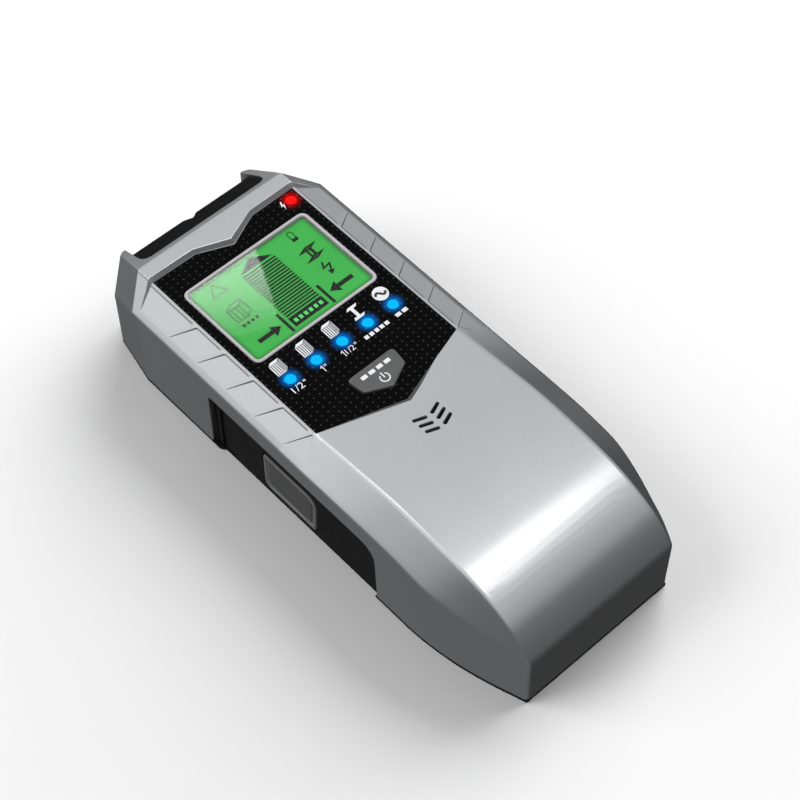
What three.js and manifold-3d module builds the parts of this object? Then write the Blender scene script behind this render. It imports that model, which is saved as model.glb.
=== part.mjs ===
// Electronic stud finder, built as an assembly of separate mouldings, boards and fasteners.
// Millimetres, +Z up. The base rests on z = 0, +Y runs from the rounded tail to the sensing head,
// +X is the right-hand side of someone holding it with the head pointing away.
// Lengths along Y are written from the tail end (y = 0), and the whole group is centred at the end.
import * as THREE from 'three';
import { mergeVertices } from 'three/addons/utils/BufferGeometryUtils.js';
import Module from 'manifold-3d';

const wasm = await Module();
wasm.setup();

// ---------------------------------------------------------------- driving dimensions
const LENGTH = 165;            // tail face to head face
const WALL = 2;                // moulded wall of the housing
const FIT = 0.25;              // gap between neighbouring mouldings
const RIM_HALF = 33;           // half width where the housing meets the base
const SHOULDER_HALF = 34.1;    // half width at the shoulder, the widest line
const SHOULDER_Z = 30.3;
const PANEL_Z = 34.3;          // face of the black control panel
const PANEL_HALF = 24.8;
const PANEL_TAIL = 80.2;       // straight sides of the panel run from here ...
const PANEL_HEAD = 146.9;      // ... to here
const PANEL_TIP = 72.5;        // point of the V at the tail end of the panel
const BEZEL_Z = 35.8;          // top of the bezel across the head
const BEZEL_HALF = 25.4;
const BEZEL_HEAD = 152.2;      // the bezel top ends here and slopes down to the nose
const NOSE_SLOPE = 0.56;       // drop per millimetre of that slope
const STRIP_HALF = 32;         // inner edge of the plain strip along each shoulder
const STRIP_Z = 31.62;
const BASE_BOTTOM = 0.4;       // underside of the base, held up by the glide pads
const BASE_EDGE = 1.3;         // top of the base's visible edge
const SHELL_RIM = 1.6;         // lower edge of the upper housing
const BASE_FLOOR = 2.6;        // inner floor of the base
const GRIP = { tail: 48.5, head: 115.3, top: 24.4, face: 32.2, back: 30 };
const SCAN = { tail: 72.6, head: 93.7, low: 3.6, high: 17.7, face: 32.5, travel: 1 };
const DISPLAY = { half: 21.75, tail: 107.05, head: 138.75, corner: 2.5, frame: 1 };
const LCD = { bottom: 29.8, top: 31.6, face: 33.7 };
const LED = { y: 98, pitch: 9.1, radius: 1.6, count: 5 };
const WARNING_LED = { x: 21.9, y: 144 };
const MODE = { tail: 77.7, shoulder: 81.3, head: 87.2, headHalf: 8.2, tailHalf: 7.4, top: 34.9 };
const BOARD = { bottom: 24.2, top: 25.8, half: 24.5, tail: 52, head: 146.4 };
const DOOR = { half: 15.2, knuckleY: 9.9, knuckleZ: 1.9, knuckleR: 1.5, head: 61, top: 2.2 };
const HINGE = { pin: 0.7, bore: 0.9, pinEnd: 16.8, boreEnd: 17.4 };
const BATTERY = { half: 13.25, tail: 10.7, body: 46, height: 17.5, bottom: 3.6, stud: 2.5 };
const TERMINAL = { x: 6.35, positive: 2.6, negative: 3.6 };
const BATTERY_Z = BATTERY.bottom + BATTERY.height / 2;
const SNAP = { tail: BATTERY.tail + BATTERY.body + 0.3, head: 60.6, half: 11.8, reach: 5.2 };
const NOSE = { rear: 154.3, half: 22.1, frontHalf: 20.2, top: 34.4 };
const PAD = { inner: 19.5, outer: 28.5, length: 18, tails: [26, 120], depth: 0.65 };
const SENSOR = { bottom: 4.6, top: 5.8, half: 21, tail: 100, head: 146 };
const COIL = { y: 124, radius: 15, hole: 11.5, height: 3.5 };
const SCAN_SWITCH = { y: 83.2, z: 10.6, half: 3, back: 22.1, face: 25.4, plungerTip: 26.9 };
const MODE_SWITCH = { y: 82.2, half: 3, top: 28.9, plungerTip: 29.2 };
const PLUNGER = 1.6;           // radius of both switch plungers
const BUZZER = { y: 62, radius: 7, top: 32.2 };
const BASE_SCREWS = [[-21, 17], [21, 17], [-26.6, 148.3], [26.6, 148.3]];
const BOARD_SCREWS = [[-20.3, 57], [20.3, 57], [-21.6, 88], [21.6, 88]];
const SENSOR_POSTS = [[-17, 104], [17, 104], [-17, 142], [17, 142]];
const OUT = 60;                // well clear of the housing on every side, for cutting tools

// ---------------------------------------------------------------- materials
const material = (color, roughness, metalness = 0) =>
  new THREE.MeshStandardMaterial({ color, roughness, metalness });
const paint = {
  silver: material(0xbbbdc1, 0.32, 0.55),
  black: material(0x1b1b1c, 0.55),
  rubber: material(0x202021, 0.8),
  panel: material(0x0d0d0e, 0.3),
  trim: material(0xe4dfe3, 0.4),
  clear: material(0xdff2e2, 0.08),
  lcd: material(0x46b85a, 0.3),
  diffuser: material(0xf1f3ee, 0.5),
  key: material(0x6a6a6b, 0.5),
  darkKey: material(0x4a4a4a, 0.55),
  blue: material(0x12b4ff, 0.2),
  red: material(0xff1410, 0.2),
  board: material(0x1f6b3a, 0.5),
  copper: material(0xb5713a, 0.4, 0.9),
  steel: material(0xb9bbbd, 0.35, 0.9),
  felt: material(0x3a3a3c, 0.95),
  cell: material(0x2c2d33, 0.4),
  redWire: material(0xb3201c, 0.5),
  blackWire: material(0x161616, 0.5),
  white: material(0xe9e9e4, 0.5),
};

// ---------------------------------------------------------------- solid helpers
function solidFrom(geometry) {
  const bare = geometry.clone();
  bare.deleteAttribute('normal');
  if (bare.getAttribute('uv')) bare.deleteAttribute('uv');
  const merged = mergeVertices(bare, 1e-5);
  return new wasm.Manifold(new wasm.Mesh({
    numProp: 3,
    vertProperties: new Float32Array(merged.getAttribute('position').array),
    triVerts: new Uint32Array(merged.index.array),
  }));
}

function geometryFrom(solid) {
  const mesh = solid.getMesh();
  const geometry = new THREE.BufferGeometry();
  geometry.setAttribute('position', new THREE.BufferAttribute(mesh.vertProperties, 3));
  geometry.setIndex(new THREE.BufferAttribute(mesh.triVerts, 1));
  geometry.computeVertexNormals();
  return geometry;
}

const join = (...solids) => solids.reduce((sum, next) => sum.add(next));
const cut = (solid, ...tools) => tools.reduce((rest, tool) => rest.subtract(tool), solid);

function box(x0, x1, y0, y1, z0, z1) {
  const geometry = new THREE.BoxGeometry(x1 - x0, y1 - y0, z1 - z0);
  geometry.translate((x0 + x1) / 2, (y0 + y1) / 2, (z0 + z1) / 2);
  return solidFrom(geometry);
}

// A round bar between two heights, standing on (x, y).
function post(x, y, z0, z1, radius, sides = 20, topRadius = radius) {
  const geometry = new THREE.CylinderGeometry(topRadius, radius, z1 - z0, sides);
  geometry.rotateX(Math.PI / 2);
  geometry.translate(x, y, (z0 + z1) / 2);
  return solidFrom(geometry);
}

// A round bar along X.
function bar(x0, x1, y, z, radius, sides = 16) {
  const geometry = new THREE.CylinderGeometry(radius, radius, x1 - x0, sides);
  geometry.rotateZ(Math.PI / 2);
  geometry.translate((x0 + x1) / 2, y, z);
  return solidFrom(geometry);
}

// A turned piece standing on (x, y): its profile is [radius, z] from the axis round to the axis.
function turned(x, y, profile, sides = 20) {
  const geometry = new THREE.LatheGeometry(profile.map(([r, z]) => new THREE.Vector2(r, z)), sides);
  geometry.rotateX(Math.PI / 2);
  geometry.translate(x, y, 0);
  return solidFrom(geometry);
}

// The same span on the chosen side of the centre line, in rising order.
const onSide = (side, near, far) => (side > 0 ? [near, far] : [-far, -near]);

// Closed outline through [x, y, radius] corners; a corner with no radius stays sharp.
function outline(corners) {
  const path = new THREE.Shape();
  const count = corners.length;
  corners.forEach(([x, y, radius = 0], i) => {
    const here = new THREE.Vector2(x, y);
    const before = new THREE.Vector2(...corners[(i + count - 1) % count]).sub(here).normalize();
    const after = new THREE.Vector2(...corners[(i + 1) % count]).sub(here).normalize();
    const reach = radius / Math.tan(Math.acos(before.dot(after)) / 2);
    const start = here.clone().addScaledVector(before, reach);
    const end = here.clone().addScaledVector(after, reach);
    if (i === 0) path.moveTo(start.x, start.y);
    else path.lineTo(start.x, start.y);
    if (radius > 0) path.quadraticCurveTo(here.x, here.y, end.x, end.y);
  });
  path.closePath();
  return path;
}

const extrude = (shape, depth, curveSegments) =>
  new THREE.ExtrudeGeometry(shape, { depth, bevelEnabled: false, curveSegments });

// Upright prism over an outline in X and Y.
function prism(corners, z0, z1, curveSegments = 5) {
  const geometry = extrude(outline(corners), z1 - z0, curveSegments);
  geometry.translate(0, 0, z0);
  return solidFrom(geometry);
}

// Prism along X over an outline in Y and Z.
function sidePrism(corners, x0, x1, curveSegments = 5) {
  const geometry = extrude(outline(corners), x1 - x0, curveSegments);
  geometry.applyMatrix4(new THREE.Matrix4().makeBasis(
    new THREE.Vector3(0, 1, 0), new THREE.Vector3(0, 0, 1), new THREE.Vector3(1, 0, 0)));
  geometry.translate(x0, 0, 0);
  return solidFrom(geometry);
}

const rectangle = (x0, x1, y0, y1, radius) =>
  [[x0, y0, radius], [x1, y0, radius], [x1, y1, radius], [x0, y1, radius]];

// Closed skin over rings that all have the same number of points, capped at both ends.
function skin(rings) {
  const columns = rings[0].length;
  const points = rings.flat();
  const faces = [];
  for (let row = 0; row + 1 < rings.length; row += 1) {
    for (let column = 0; column < columns; column += 1) {
      const a = row * columns + column;
      const b = row * columns + (column + 1) % columns;
      faces.push(a, b, a + columns, b, b + columns, a + columns);
    }
  }
  const last = (rings.length - 1) * columns;
  for (let column = 1; column + 1 < columns; column += 1) {
    faces.push(0, column + 1, column);
    faces.push(last, last + column, last + column + 1);
  }
  const geometry = new THREE.BufferGeometry();
  geometry.setAttribute('position', new THREE.BufferAttribute(new Float32Array(points.flat()), 3));
  geometry.setIndex(faces);
  return solidFrom(geometry);
}

// Removes everything on the outer side of a plane.
function trim(solid, point, normal) {
  const reach = 400;
  const geometry = new THREE.BoxGeometry(reach, reach, reach);
  geometry.translate(0, 0, reach / 2);
  const outward = new THREE.Vector3(...normal).normalize();
  geometry.applyQuaternion(new THREE.Quaternion().setFromUnitVectors(new THREE.Vector3(0, 0, 1), outward));
  geometry.translate(...point);
  return solid.subtract(solidFrom(geometry));
}

// Same plane on both sides of the centre line.
const trimBoth = (solid, [px, py, pz], [nx, ny, nz]) =>
  trim(trim(solid, [px, py, pz], [nx, ny, nz]), [-px, py, pz], [-nx, ny, nz]);

// Smooth curve through [y, value] points, read at any y.
function through(points) {
  const slope = (i) => {
    const before = points[Math.max(i - 1, 0)];
    const after = points[Math.min(i + 1, points.length - 1)];
    return (after[1] - before[1]) / (after[0] - before[0]);
  };
  return (y) => {
    if (y >= points[points.length - 1][0]) return points[points.length - 1][1];
    let i = 0;
    while (y > points[i + 1][0]) i += 1;
    const span = points[i + 1][0] - points[i][0];
    const t = (y - points[i][0]) / span;
    const [p, q] = [points[i][1], points[i + 1][1]];
    return p * (2 * t ** 3 - 3 * t * t + 1) + q * (3 * t * t - 2 * t ** 3)
      + slope(i) * span * (t ** 3 - 2 * t * t + t) + slope(i + 1) * span * (t ** 3 - t * t);
  };
}

// ---------------------------------------------------------------- outer form of the housing
// Flats of the head, each a point on the plane and its outward normal.
const CHEEK = [[33.5, 146.6, SHOULDER_Z], [1, 0.21, -0.036]];
const CORNER = [[23.1, 164.1, 29.2], [0.645, 0.764, 0.02]];
const UPPER_CORNER = [[25.5, BEZEL_HEAD, BEZEL_Z], [1.515, 0.938, 1.14]];

// Four lines run from the tail: rim, shoulder, ridge (edge of the top face) and their heights.
const rimHalf = through([[0, 25.5], [12, 29.3], [22, 31.6], [33, RIM_HALF - 0.1], [42, RIM_HALF]]);
const shoulderHalf = through([[0, 25.8], [10, 29.1], [20, 32.1], [29, 33.9], [38, SHOULDER_HALF]]);
const shoulderZ = through([[0, 19.3], [5, 22.8], [12, 24.7], [26, 27.7], [41, 29.9], [52, SHOULDER_Z]]);
const ridgeHalf = through([[0, 25.5], [10, 25.4], [60, 25.2], [PANEL_TAIL, 25.1]]);
const ridgeZ = through([[0, 19.8], [4.2, 25], [8.5, 28.6], [17, 32.7], [26, 34.9], [48, 36.7],
  [62, 35.9], [PANEL_TAIL, 34.45]]);

const mix = (p, q, t) => p.map((value, i) => value + (q[i] - value) * t);

// Up the left-hand side and, mirrored, down the right.
const mirrored = (right) => [...right.map(([x, y, z]) => [-x, y, z]), ...[...right].reverse()];
const ring = (rim, shoulder, strip, facet, lip, edge) => mirrored([rim, shoulder, strip, facet, lip, edge]);

function tailRing(y) {
  const shoulder = [shoulderHalf(y), y, shoulderZ(y)];
  const ridge = [ridgeHalf(y), y, ridgeZ(y)];
  return ring([rimHalf(y), y, 0], shoulder, mix(shoulder, ridge, 0.236), mix(shoulder, ridge, 0.9),
    mix(shoulder, ridge, 0.96), ridge);
}

// Beside the panel the top is a row of shallow overlapping facets. Their ends slant, and each
// end is raised next to the panel lip and dies away at the plain strip.
const FACET_HALF = 25.9;
const FACET_Z = 34.05;
const LIP_Z = PANEL_Z + 0.2;
const FACET_SLANT = 4.35;
const FACET_PITCH = 11.65;
const RAMP = 2;
const RAISE = 0.45;
function facetRing(y, raise) {
  return ring([RIM_HALF, y + FACET_SLANT, 0], [SHOULDER_HALF, y + FACET_SLANT, SHOULDER_Z],
    [STRIP_HALF, y + FACET_SLANT, STRIP_Z], [FACET_HALF, y, FACET_Z + raise],
    [25.5, y - 0.2, LIP_Z], [PANEL_HALF, y - 0.4, LIP_Z]);
}

function headRing(edgeY, stripY, facetHeight, edgeHeight, half) {
  return ring([RIM_HALF, stripY, 0], [SHOULDER_HALF, stripY, SHOULDER_Z], [STRIP_HALF, stripY, STRIP_Z],
    [FACET_HALF, edgeY - 0.3, facetHeight], [25.6, edgeY - 0.1, edgeHeight], [half, edgeY, edgeHeight]);
}

const tailStations = [0, 2, 4.2, 6.4, 8.5, 11, 14, 17, 21, 26, 31, 36, 42, 48, 54, 60, 66, 72, 76.5];
const rings = tailStations.map(tailRing);
rings.push(facetRing(PANEL_TAIL + 0.4, 0.05));
for (let k = 0; k < 5; k += 1) {
  const foot = PANEL_TAIL + 0.4 + k * FACET_PITCH;
  if (k > 0) rings.push(facetRing(foot - 0.05, 0));
  rings.push(facetRing(foot + (k > 0 ? 0.1 : 0.15), RAISE));
  rings.push(facetRing(foot + RAMP, 0.05));
}
rings.push(headRing(PANEL_HEAD, 143.6, FACET_Z + 0.05, LIP_Z, PANEL_HALF));
rings.push(headRing(BEZEL_HEAD - 4.2, 143.75, BEZEL_Z - 0.3, BEZEL_Z, BEZEL_HALF));
rings.push(headRing(LENGTH + 5, LENGTH + 5, BEZEL_Z - 0.3, BEZEL_Z, BEZEL_HALF));

// The bezel's edge over the panel: drafted, with a blunt V pointing at the display.
const BEZEL_FOOT = [[-PANEL_HALF - 1, PANEL_HEAD], [-10.1, PANEL_HEAD - 0.1], [0, 142.3],
  [10.1, PANEL_HEAD - 0.1], [PANEL_HALF + 1, PANEL_HEAD]];
const BEZEL_LIP = [[-PANEL_HALF - 1, 148], [-10.3, 147.8], [0, 143.7], [10.3, 147.8], [PANEL_HALF + 1, 148]];
function bezelTongue() {
  const level = (front, z) =>
    [...front, [PANEL_HALF + 1, 151.5], [-PANEL_HALF - 1, 151.5]].map(([x, y]) => [x, y, z]);
  const body = skin([level(BEZEL_FOOT, 33), level(BEZEL_FOOT, PANEL_Z), level(BEZEL_LIP, BEZEL_Z)]);
  const upright = box(-BEZEL_HALF, BEZEL_HALF, 140, 152, 32, 40);
  return body.intersect(upright);
}

// Flats that give the head its faceted corners: lower cheek, corner, upper corner, nose slope.
function shapeHead(solid) {
  let head = trimBoth(trimBoth(trimBoth(solid, ...CHEEK), ...CORNER), ...UPPER_CORNER);
  head = trim(head, [0, BEZEL_HEAD, BEZEL_Z], [0, NOSE_SLOPE, 1]);
  return trim(head, [0, LENGTH, 0], [0, 1, 0]);
}

const outerForm = shapeHead(join(skin(rings), bezelTongue()));

// ---------------------------------------------------------------- hollow of the housing
// The same lines, moved in by a wall; spare is an extra gap for pieces that sit inside.
function hollow(spare, tail = WALL) {
  const inset = WALL + spare;
  const section = (y, top) => {
    const shoulder = [shoulderHalf(y) - inset, y, shoulderZ(y) - 0.6 * inset];
    const ridge = [ridgeHalf(y) - 0.5 * inset, y, top - inset * 1.05];
    return mirrored([[rimHalf(y) - inset, y, -1], shoulder, ridge]);
  };
  const stations = [tail + spare, 5, 9, 14, 20, 28, 38, 48, 58, 68, 79];
  const list = stations.map((y) => section(y, y < 12 ? ridgeZ(y) - 0.8 : ridgeZ(y)));
  list.push(section(82, PANEL_Z));
  list.push(section(LENGTH + 5, PANEL_Z));
  let inside = skin(list);
  for (const [point, normal] of [CHEEK, CORNER, UPPER_CORNER]) {
    const step = new THREE.Vector3(...normal).normalize().multiplyScalar(-inset);
    inside = trimBoth(inside, step.add(new THREE.Vector3(...point)).toArray(), normal);
  }
  return trim(inside, [0, NOSE.rear - 2.3 - spare, 0], [0, 1, 0]);
}

// ---------------------------------------------------------------- outlines shared by neighbours
const panelOutline = (gap) => [[-PANEL_HALF + gap, PANEL_TAIL + gap], [0, PANEL_TIP + gap],
  [PANEL_HALF - gap, PANEL_TAIL + gap], [PANEL_HALF - gap, PANEL_HEAD - gap], [10.1, PANEL_HEAD - 0.1 - gap],
  [0, 142.3 - gap], [-10.1, PANEL_HEAD - 0.1 - gap], [-PANEL_HALF + gap, PANEL_HEAD - gap]];
const displayOutline = (gap) => rectangle(-DISPLAY.half + gap, DISPLAY.half - gap,
  DISPLAY.tail + gap, DISPLAY.head - gap, Math.max(DISPLAY.corner - gap, 0.6));
const modeOutline = (gap) => [
  [-MODE.tailHalf + gap, MODE.shoulder, 1.4], [0, MODE.tail + gap, 1.2],
  [MODE.tailHalf - gap, MODE.shoulder, 1.4],
  [MODE.headHalf - gap, MODE.head - gap, 1.4], [-MODE.headHalf + gap, MODE.head - gap, 1.4]];
const gripOutline = (gap, low) => [
  [GRIP.tail + gap, low], [GRIP.head - gap, low], [GRIP.head - gap, GRIP.top - 0.9 - gap, 0.9],
  [GRIP.head - 2.2, GRIP.top - gap, 1], [GRIP.tail + gap, GRIP.top - gap, 6]];
const scanOutline = (gap) => [
  [SCAN.tail + 0.6 + gap, SCAN.low + gap, 0.9], [SCAN.head - gap, SCAN.low + gap, 3],
  [SCAN.head - gap, SCAN.high - gap, 0.9], [SCAN.tail + gap, SCAN.high - gap, 4]];
const noseOutline = (gap, front) => [
  [-NOSE.half + gap, NOSE.rear + gap, 3], [NOSE.half - gap, NOSE.rear + gap, 3],
  [NOSE.frontHalf - gap, front], [-NOSE.frontHalf + gap, front]];
const ledPlaces = Array.from({ length: LED.count }, (_, i) => [(i - (LED.count - 1) / 2) * LED.pitch, LED.y]);
const lampPlaces = [...ledPlaces, [WARNING_LED.x, WARNING_LED.y]];
const padPlaces = PAD.tails.flatMap((y) =>
  [-1, 1].map((side) => [...onSide(side, PAD.inner, PAD.outer), y, y + PAD.length]));

// ---------------------------------------------------------------- upper housing
// Sound slots over the buzzer: three rows of slanting slots, mirrored.
const SLOT = { half: 1.95, width: 0.84, x: 2.65, y: 65, pitch: 2.42, rows: 3, slope: 0.4 };
function speakerSlots() {
  const slots = [];
  for (const side of [-1, 1]) {
    for (let row = 0; row < SLOT.rows; row += 1) {
      const shape = rectangle(-SLOT.half, SLOT.half, -SLOT.width / 2, SLOT.width / 2, SLOT.width * 0.48);
      const geometry = extrude(outline(shape), 12, 4);
      geometry.rotateZ(side * Math.atan(SLOT.slope));
      geometry.translate(side * SLOT.x, SLOT.y - row * SLOT.pitch, 30);
      slots.push(solidFrom(geometry));
    }
  }
  return join(...slots);
}

// Seat of the panel, with a drafted brim along the V at its tail end.
function panelPocket() {
  const floor = panelOutline(0).map(([x, y]) => [x, y, PANEL_Z]);
  const tailShift = [[-0.1, 0], [0, -1.4], [0.1, 0], [0.1, 1], [0.1, 1], [0, 1], [-0.1, 1], [-0.1, 1]];
  const brim = floor.map(([x, y], i) => [x + tailShift[i][0], y + tailShift[i][1], PANEL_Z + 0.75]);
  const above = brim.map(([x, y]) => [x, y, PANEL_Z + 6]);
  const tailEnd = box(-PANEL_HALF, PANEL_HALF, PANEL_TIP - 4, 100, PANEL_Z, PANEL_Z + 6);
  const seat = prism(panelOutline(0), PANEL_Z - 0.8, PANEL_Z + 3);
  return join(seat, skin([floor, brim, above]).intersect(tailEnd));
}

const slab = (z0, z1) => box(-OUT, OUT, -5, LENGTH + 5, z0, z1);

function topShell() {
  let shell = cut(outerForm, hollow(0), panelPocket(), slab(-5, SHELL_RIM));
  const roof = outerForm.subtract(panelPocket());
  for (const [x, y] of BASE_SCREWS) shell = shell.add(post(x, y, 9.5, 45, 3).intersect(roof));
  for (const [x, y] of BOARD_SCREWS) shell = shell.add(post(x, y, BOARD.top + 0.3, 45, 2.4).intersect(roof));
  shell = cut(shell, ...BASE_SCREWS.map(([x, y]) => post(x, y, 9, 20, 1.5)),
    ...BOARD_SCREWS.map(([x, y]) => post(x, y, BOARD.top, 31.4, 1, 12)));
  shell = cut(shell, prism(displayOutline(1.2), 28, OUT), speakerSlots(), prism(modeOutline(-FIT), 28, OUT),
    prism(noseOutline(0, LENGTH + 5), -1, OUT),
    ...lampPlaces.map(([x, y]) => post(x, y, 28, OUT, LED.radius + 0.3, 14)));
  const window = sidePrism(gripOutline(0, -2), 25, OUT);
  return cut(shell, window, window.mirror([1, 0, 0]));
}

// ---------------------------------------------------------------- base and battery door
function baseShell() {
  const inner = hollow(0.3);
  let base = outerForm.intersect(slab(BASE_BOTTOM, BASE_EDGE));
  base = join(base, inner.intersect(slab(BASE_EDGE - 0.1, BASE_FLOOR)),
    cut(inner, hollow(1.8, 3.6)).intersect(slab(BASE_FLOOR - 0.1, 6)));
  for (const side of [-1, 1]) {
    const recess = prism([[GRIP.face - 0.3, GRIP.tail + 0.4], [OUT, GRIP.tail + 0.4], [OUT, GRIP.head - 2.7],
      [GRIP.face + 1, GRIP.head - 2.7], [GRIP.face - 0.3, GRIP.head - 4.4]], -1, 10);
    base = cut(base, box(...onSide(side, 27.5, OUT), GRIP.tail - 0.4, GRIP.head + 0.4, BASE_EDGE, 10),
      side > 0 ? recess : recess.mirror([1, 0, 0]));
  }
  base = join(base, batteryWalls(), ...BASE_SCREWS.map(([x, y]) => post(x, y, BASE_FLOOR - 0.1, 9.2, 3.3)),
    ...SENSOR_POSTS.map(([x, y]) => post(x, y, BASE_FLOOR - 0.1, SENSOR.bottom - 0.1, 2.2, 14)));
  const bayHalf = DOOR.half + 0.3;
  base = base.subtract(box(-bayHalf, bayHalf, DOOR.knuckleY - DOOR.knuckleR - 0.3, DOOR.head + 0.3, -1, 3.8));
  for (const side of [-1, 1]) {
    base = base.add(box(...onSide(side, bayHalf, 19), 7.4, 12.6, BASE_FLOOR - 0.1, 4.3));
  }
  base = cut(base, bar(-HINGE.boreEnd, HINGE.boreEnd, DOOR.knuckleY, DOOR.knuckleZ, HINGE.bore),
    ...BASE_SCREWS.map(([x, y]) => join(post(x, y, -1, 3.4, 3), post(x, y, 3.3, 10, 1.5))),
    ...padPlaces.map((place) => box(...place, -1, PAD.depth)),
    prism(noseOutline(-FIT, LENGTH + 5), SHELL_RIM - 0.2, 10));
  return notched(base);
}

// Box that holds the battery, with a slot for the leads.
function batteryWalls() {
  const half = BATTERY.half + 0.5;
  return cut(box(-half - 1.5, half + 1.5, BATTERY.tail - 2, SNAP.head + 2, BASE_FLOOR - 0.1, 16),
    box(-half, half, BATTERY.tail - 0.5, SNAP.head + 0.6, 0, 17), box(-7, 7, SNAP.head, 70, 8, 17));
}

// V-shaped marking notch in the middle of the head, over the full height.
const notched = (solid) =>
  solid.subtract(prism([[0, 160.5, 0.5], [5.7, 165.25], [5.7, 168], [-5.7, 168], [-5.7, 165.25]], -2, 40, 3));

function glidePad([x0, x1, y0, y1]) {
  const gap = 0.2;
  return prism(rectangle(x0 + gap, x1 - gap, y0 + gap, y1 - gap, 2), 0, PAD.depth - 0.03, 4);
}

function batteryDoor() {
  const { half, knuckleY, knuckleZ, knuckleR, head, top } = DOOR;
  let door = join(box(-half, half, knuckleY, head, BASE_BOTTOM, top),
    bar(-half, half, knuckleY, knuckleZ, knuckleR, 24),
    bar(-HINGE.pinEnd, HINGE.pinEnd, knuckleY, knuckleZ, HINGE.pin, 16),
    ...[-1, 1].map((side) => box(...onSide(side, 11, 12.2), 20, 54, top - 0.1, BATTERY.bottom - 0.2)));
  for (let k = 0; k < 5; k += 1) {
    const thumbHalf = 6 - k * 0.5;
    const y = head - 5 - k * 2;
    door = door.subtract(box(-thumbHalf, thumbHalf, y - 0.4, y + 0.4, 0, BASE_BOTTOM + 0.5));
  }
  return door;
}

// ---------------------------------------------------------------- nose, grips and keys
function headInsert() {
  const profile = [[NOSE.rear, SHELL_RIM], [LENGTH, SHELL_RIM], [LENGTH, 24.6, 1.6], [162.2, 28.7, 2.5],
    [NOSE.rear, NOSE.top]];
  const outside = prism(noseOutline(FIT, LENGTH), SHELL_RIM, OUT).intersect(sidePrism(profile, -OUT, OUT));
  const cavity = prism([[-18.5, NOSE.rear - 3], [18.5, NOSE.rear - 3], [18.5, 159.5], [-18.5, 159.5]], 4, 26);
  return notched(outside).subtract(cavity);
}

// Soft grip in each side, with a step and a groove near its head end; the left one frames the scan key.
function grip(side) {
  const groove = box(GRIP.face - 0.7, OUT, GRIP.head - 2.1, GRIP.head - 1.6, -1, 30);
  const rampEnd = GRIP.head - 3.7;
  const ramp = prism([[GRIP.face - 0.55, rampEnd], [GRIP.face + 1, rampEnd],
    [GRIP.face + 1, rampEnd - 7.6], [GRIP.face - 0.55, rampEnd - 4.1]].reverse(), -1, 30);
  const pad = cut(sidePrism(gripOutline(FIT, SHELL_RIM), GRIP.back, GRIP.face), groove, ramp);
  if (side > 0) return pad;
  return pad.subtract(sidePrism(scanOutline(-0.35), 20, OUT)).mirror([1, 0, 0]);
}

function scanButton() {
  const cap = sidePrism(scanOutline(0), GRIP.back, SCAN.face);
  const dish = sidePrism(scanOutline(1.1), SCAN.face - 0.5, 40);
  const flange = sidePrism(scanOutline(-1.2), GRIP.back - 1.1, GRIP.back - 0.3);
  const neck = sidePrism(scanOutline(0.4), GRIP.back - 0.4, GRIP.back + 0.1);
  const stem = bar(SCAN_SWITCH.plungerTip + 0.2, GRIP.back - 1, SCAN_SWITCH.y, SCAN_SWITCH.z, PLUNGER);
  return join(cap.subtract(dish), neck, flange, stem).mirror([1, 0, 0]);
}

function scanSwitch() {
  const { y, z, half, back, face } = SCAN_SWITCH;
  const body = box(back, face, y - half, y + half, z - half, z + half);
  return body.subtract(bar(face - 1.6, face + 1, y, z, PLUNGER + 0.3)).mirror([1, 0, 0]);
}
function scanPlunger() {
  const { y, z, face, plungerTip } = SCAN_SWITCH;
  return bar(face - 0.4, plungerTip, y, z, PLUNGER).mirror([1, 0, 0]);
}
function scanBoard() {
  const { y, z, back } = SCAN_SWITCH;
  return box(0.1 - back, 1.3 - back, y - 8, y + 8, z - 6.4, z + 7);
}

function modeButton() {
  const cap = prism(modeOutline(0), 31.9, MODE.top - 0.5);
  const crown = prism(modeOutline(0.35), MODE.top - 0.6, MODE.top);
  const flange = prism(rectangle(-9, 9, MODE.tail - 1.1, MODE.head + 1.1, 1), 31, 31.9);
  const stem = post(0, MODE_SWITCH.y, MODE_SWITCH.plungerTip + 0.2, 31.1, PLUNGER, 16);
  return join(cap, crown, flange, stem);
}

function modeSwitch() {
  const { y, half, top } = MODE_SWITCH;
  const body = box(-half, half, y - half, y + half, BOARD.top + 0.1, top);
  return body.subtract(post(0, y, top - 1.5, top + 1, PLUNGER + 0.3, 16));
}
const modePlunger = () =>
  post(0, MODE_SWITCH.y, MODE_SWITCH.top - 0.8, MODE_SWITCH.plungerTip, PLUNGER, 16);

// ---------------------------------------------------------------- control panel and display
function displayOverlay() {
  return cut(prism(panelOutline(0.15), PANEL_Z - 0.7, PANEL_Z), prism(displayOutline(-0.1), 30, OUT),
    prism(modeOutline(-FIT), 30, OUT), ...lampPlaces.map(([x, y]) => post(x, y, 30, OUT, LED.radius + 0.15)));
}
const displayFrame = () => prism(displayOutline(0), PANEL_Z - 0.7, PANEL_Z + 0.15)
  .subtract(prism(displayOutline(DISPLAY.frame), 30, OUT));
const displayWindow = () => prism(displayOutline(DISPLAY.frame + 0.1), PANEL_Z - 0.45, PANEL_Z - 0.1);

// The glass is stepped: its upper sheet stands in the opening of the housing, close under the window.
function lcdPanel() {
  const lower = box(-21, 21, DISPLAY.tail - 1.5, DISPLAY.head + 1.5, LCD.bottom, LCD.top);
  return join(lower, prism(displayOutline(1.45), LCD.top - 0.1, LCD.face));
}
const lcdBacklight = () =>
  box(-20.6, 20.6, DISPLAY.tail + 1.1, DISPLAY.head + 1.3, BOARD.top + 0.4, LCD.bottom - 0.2);
const lcdConnector = () =>
  box(-18, 18, DISPLAY.tail - 1.3, DISPLAY.tail + 0.7, BOARD.top + 0.1, LCD.bottom - 0.1);

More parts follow.
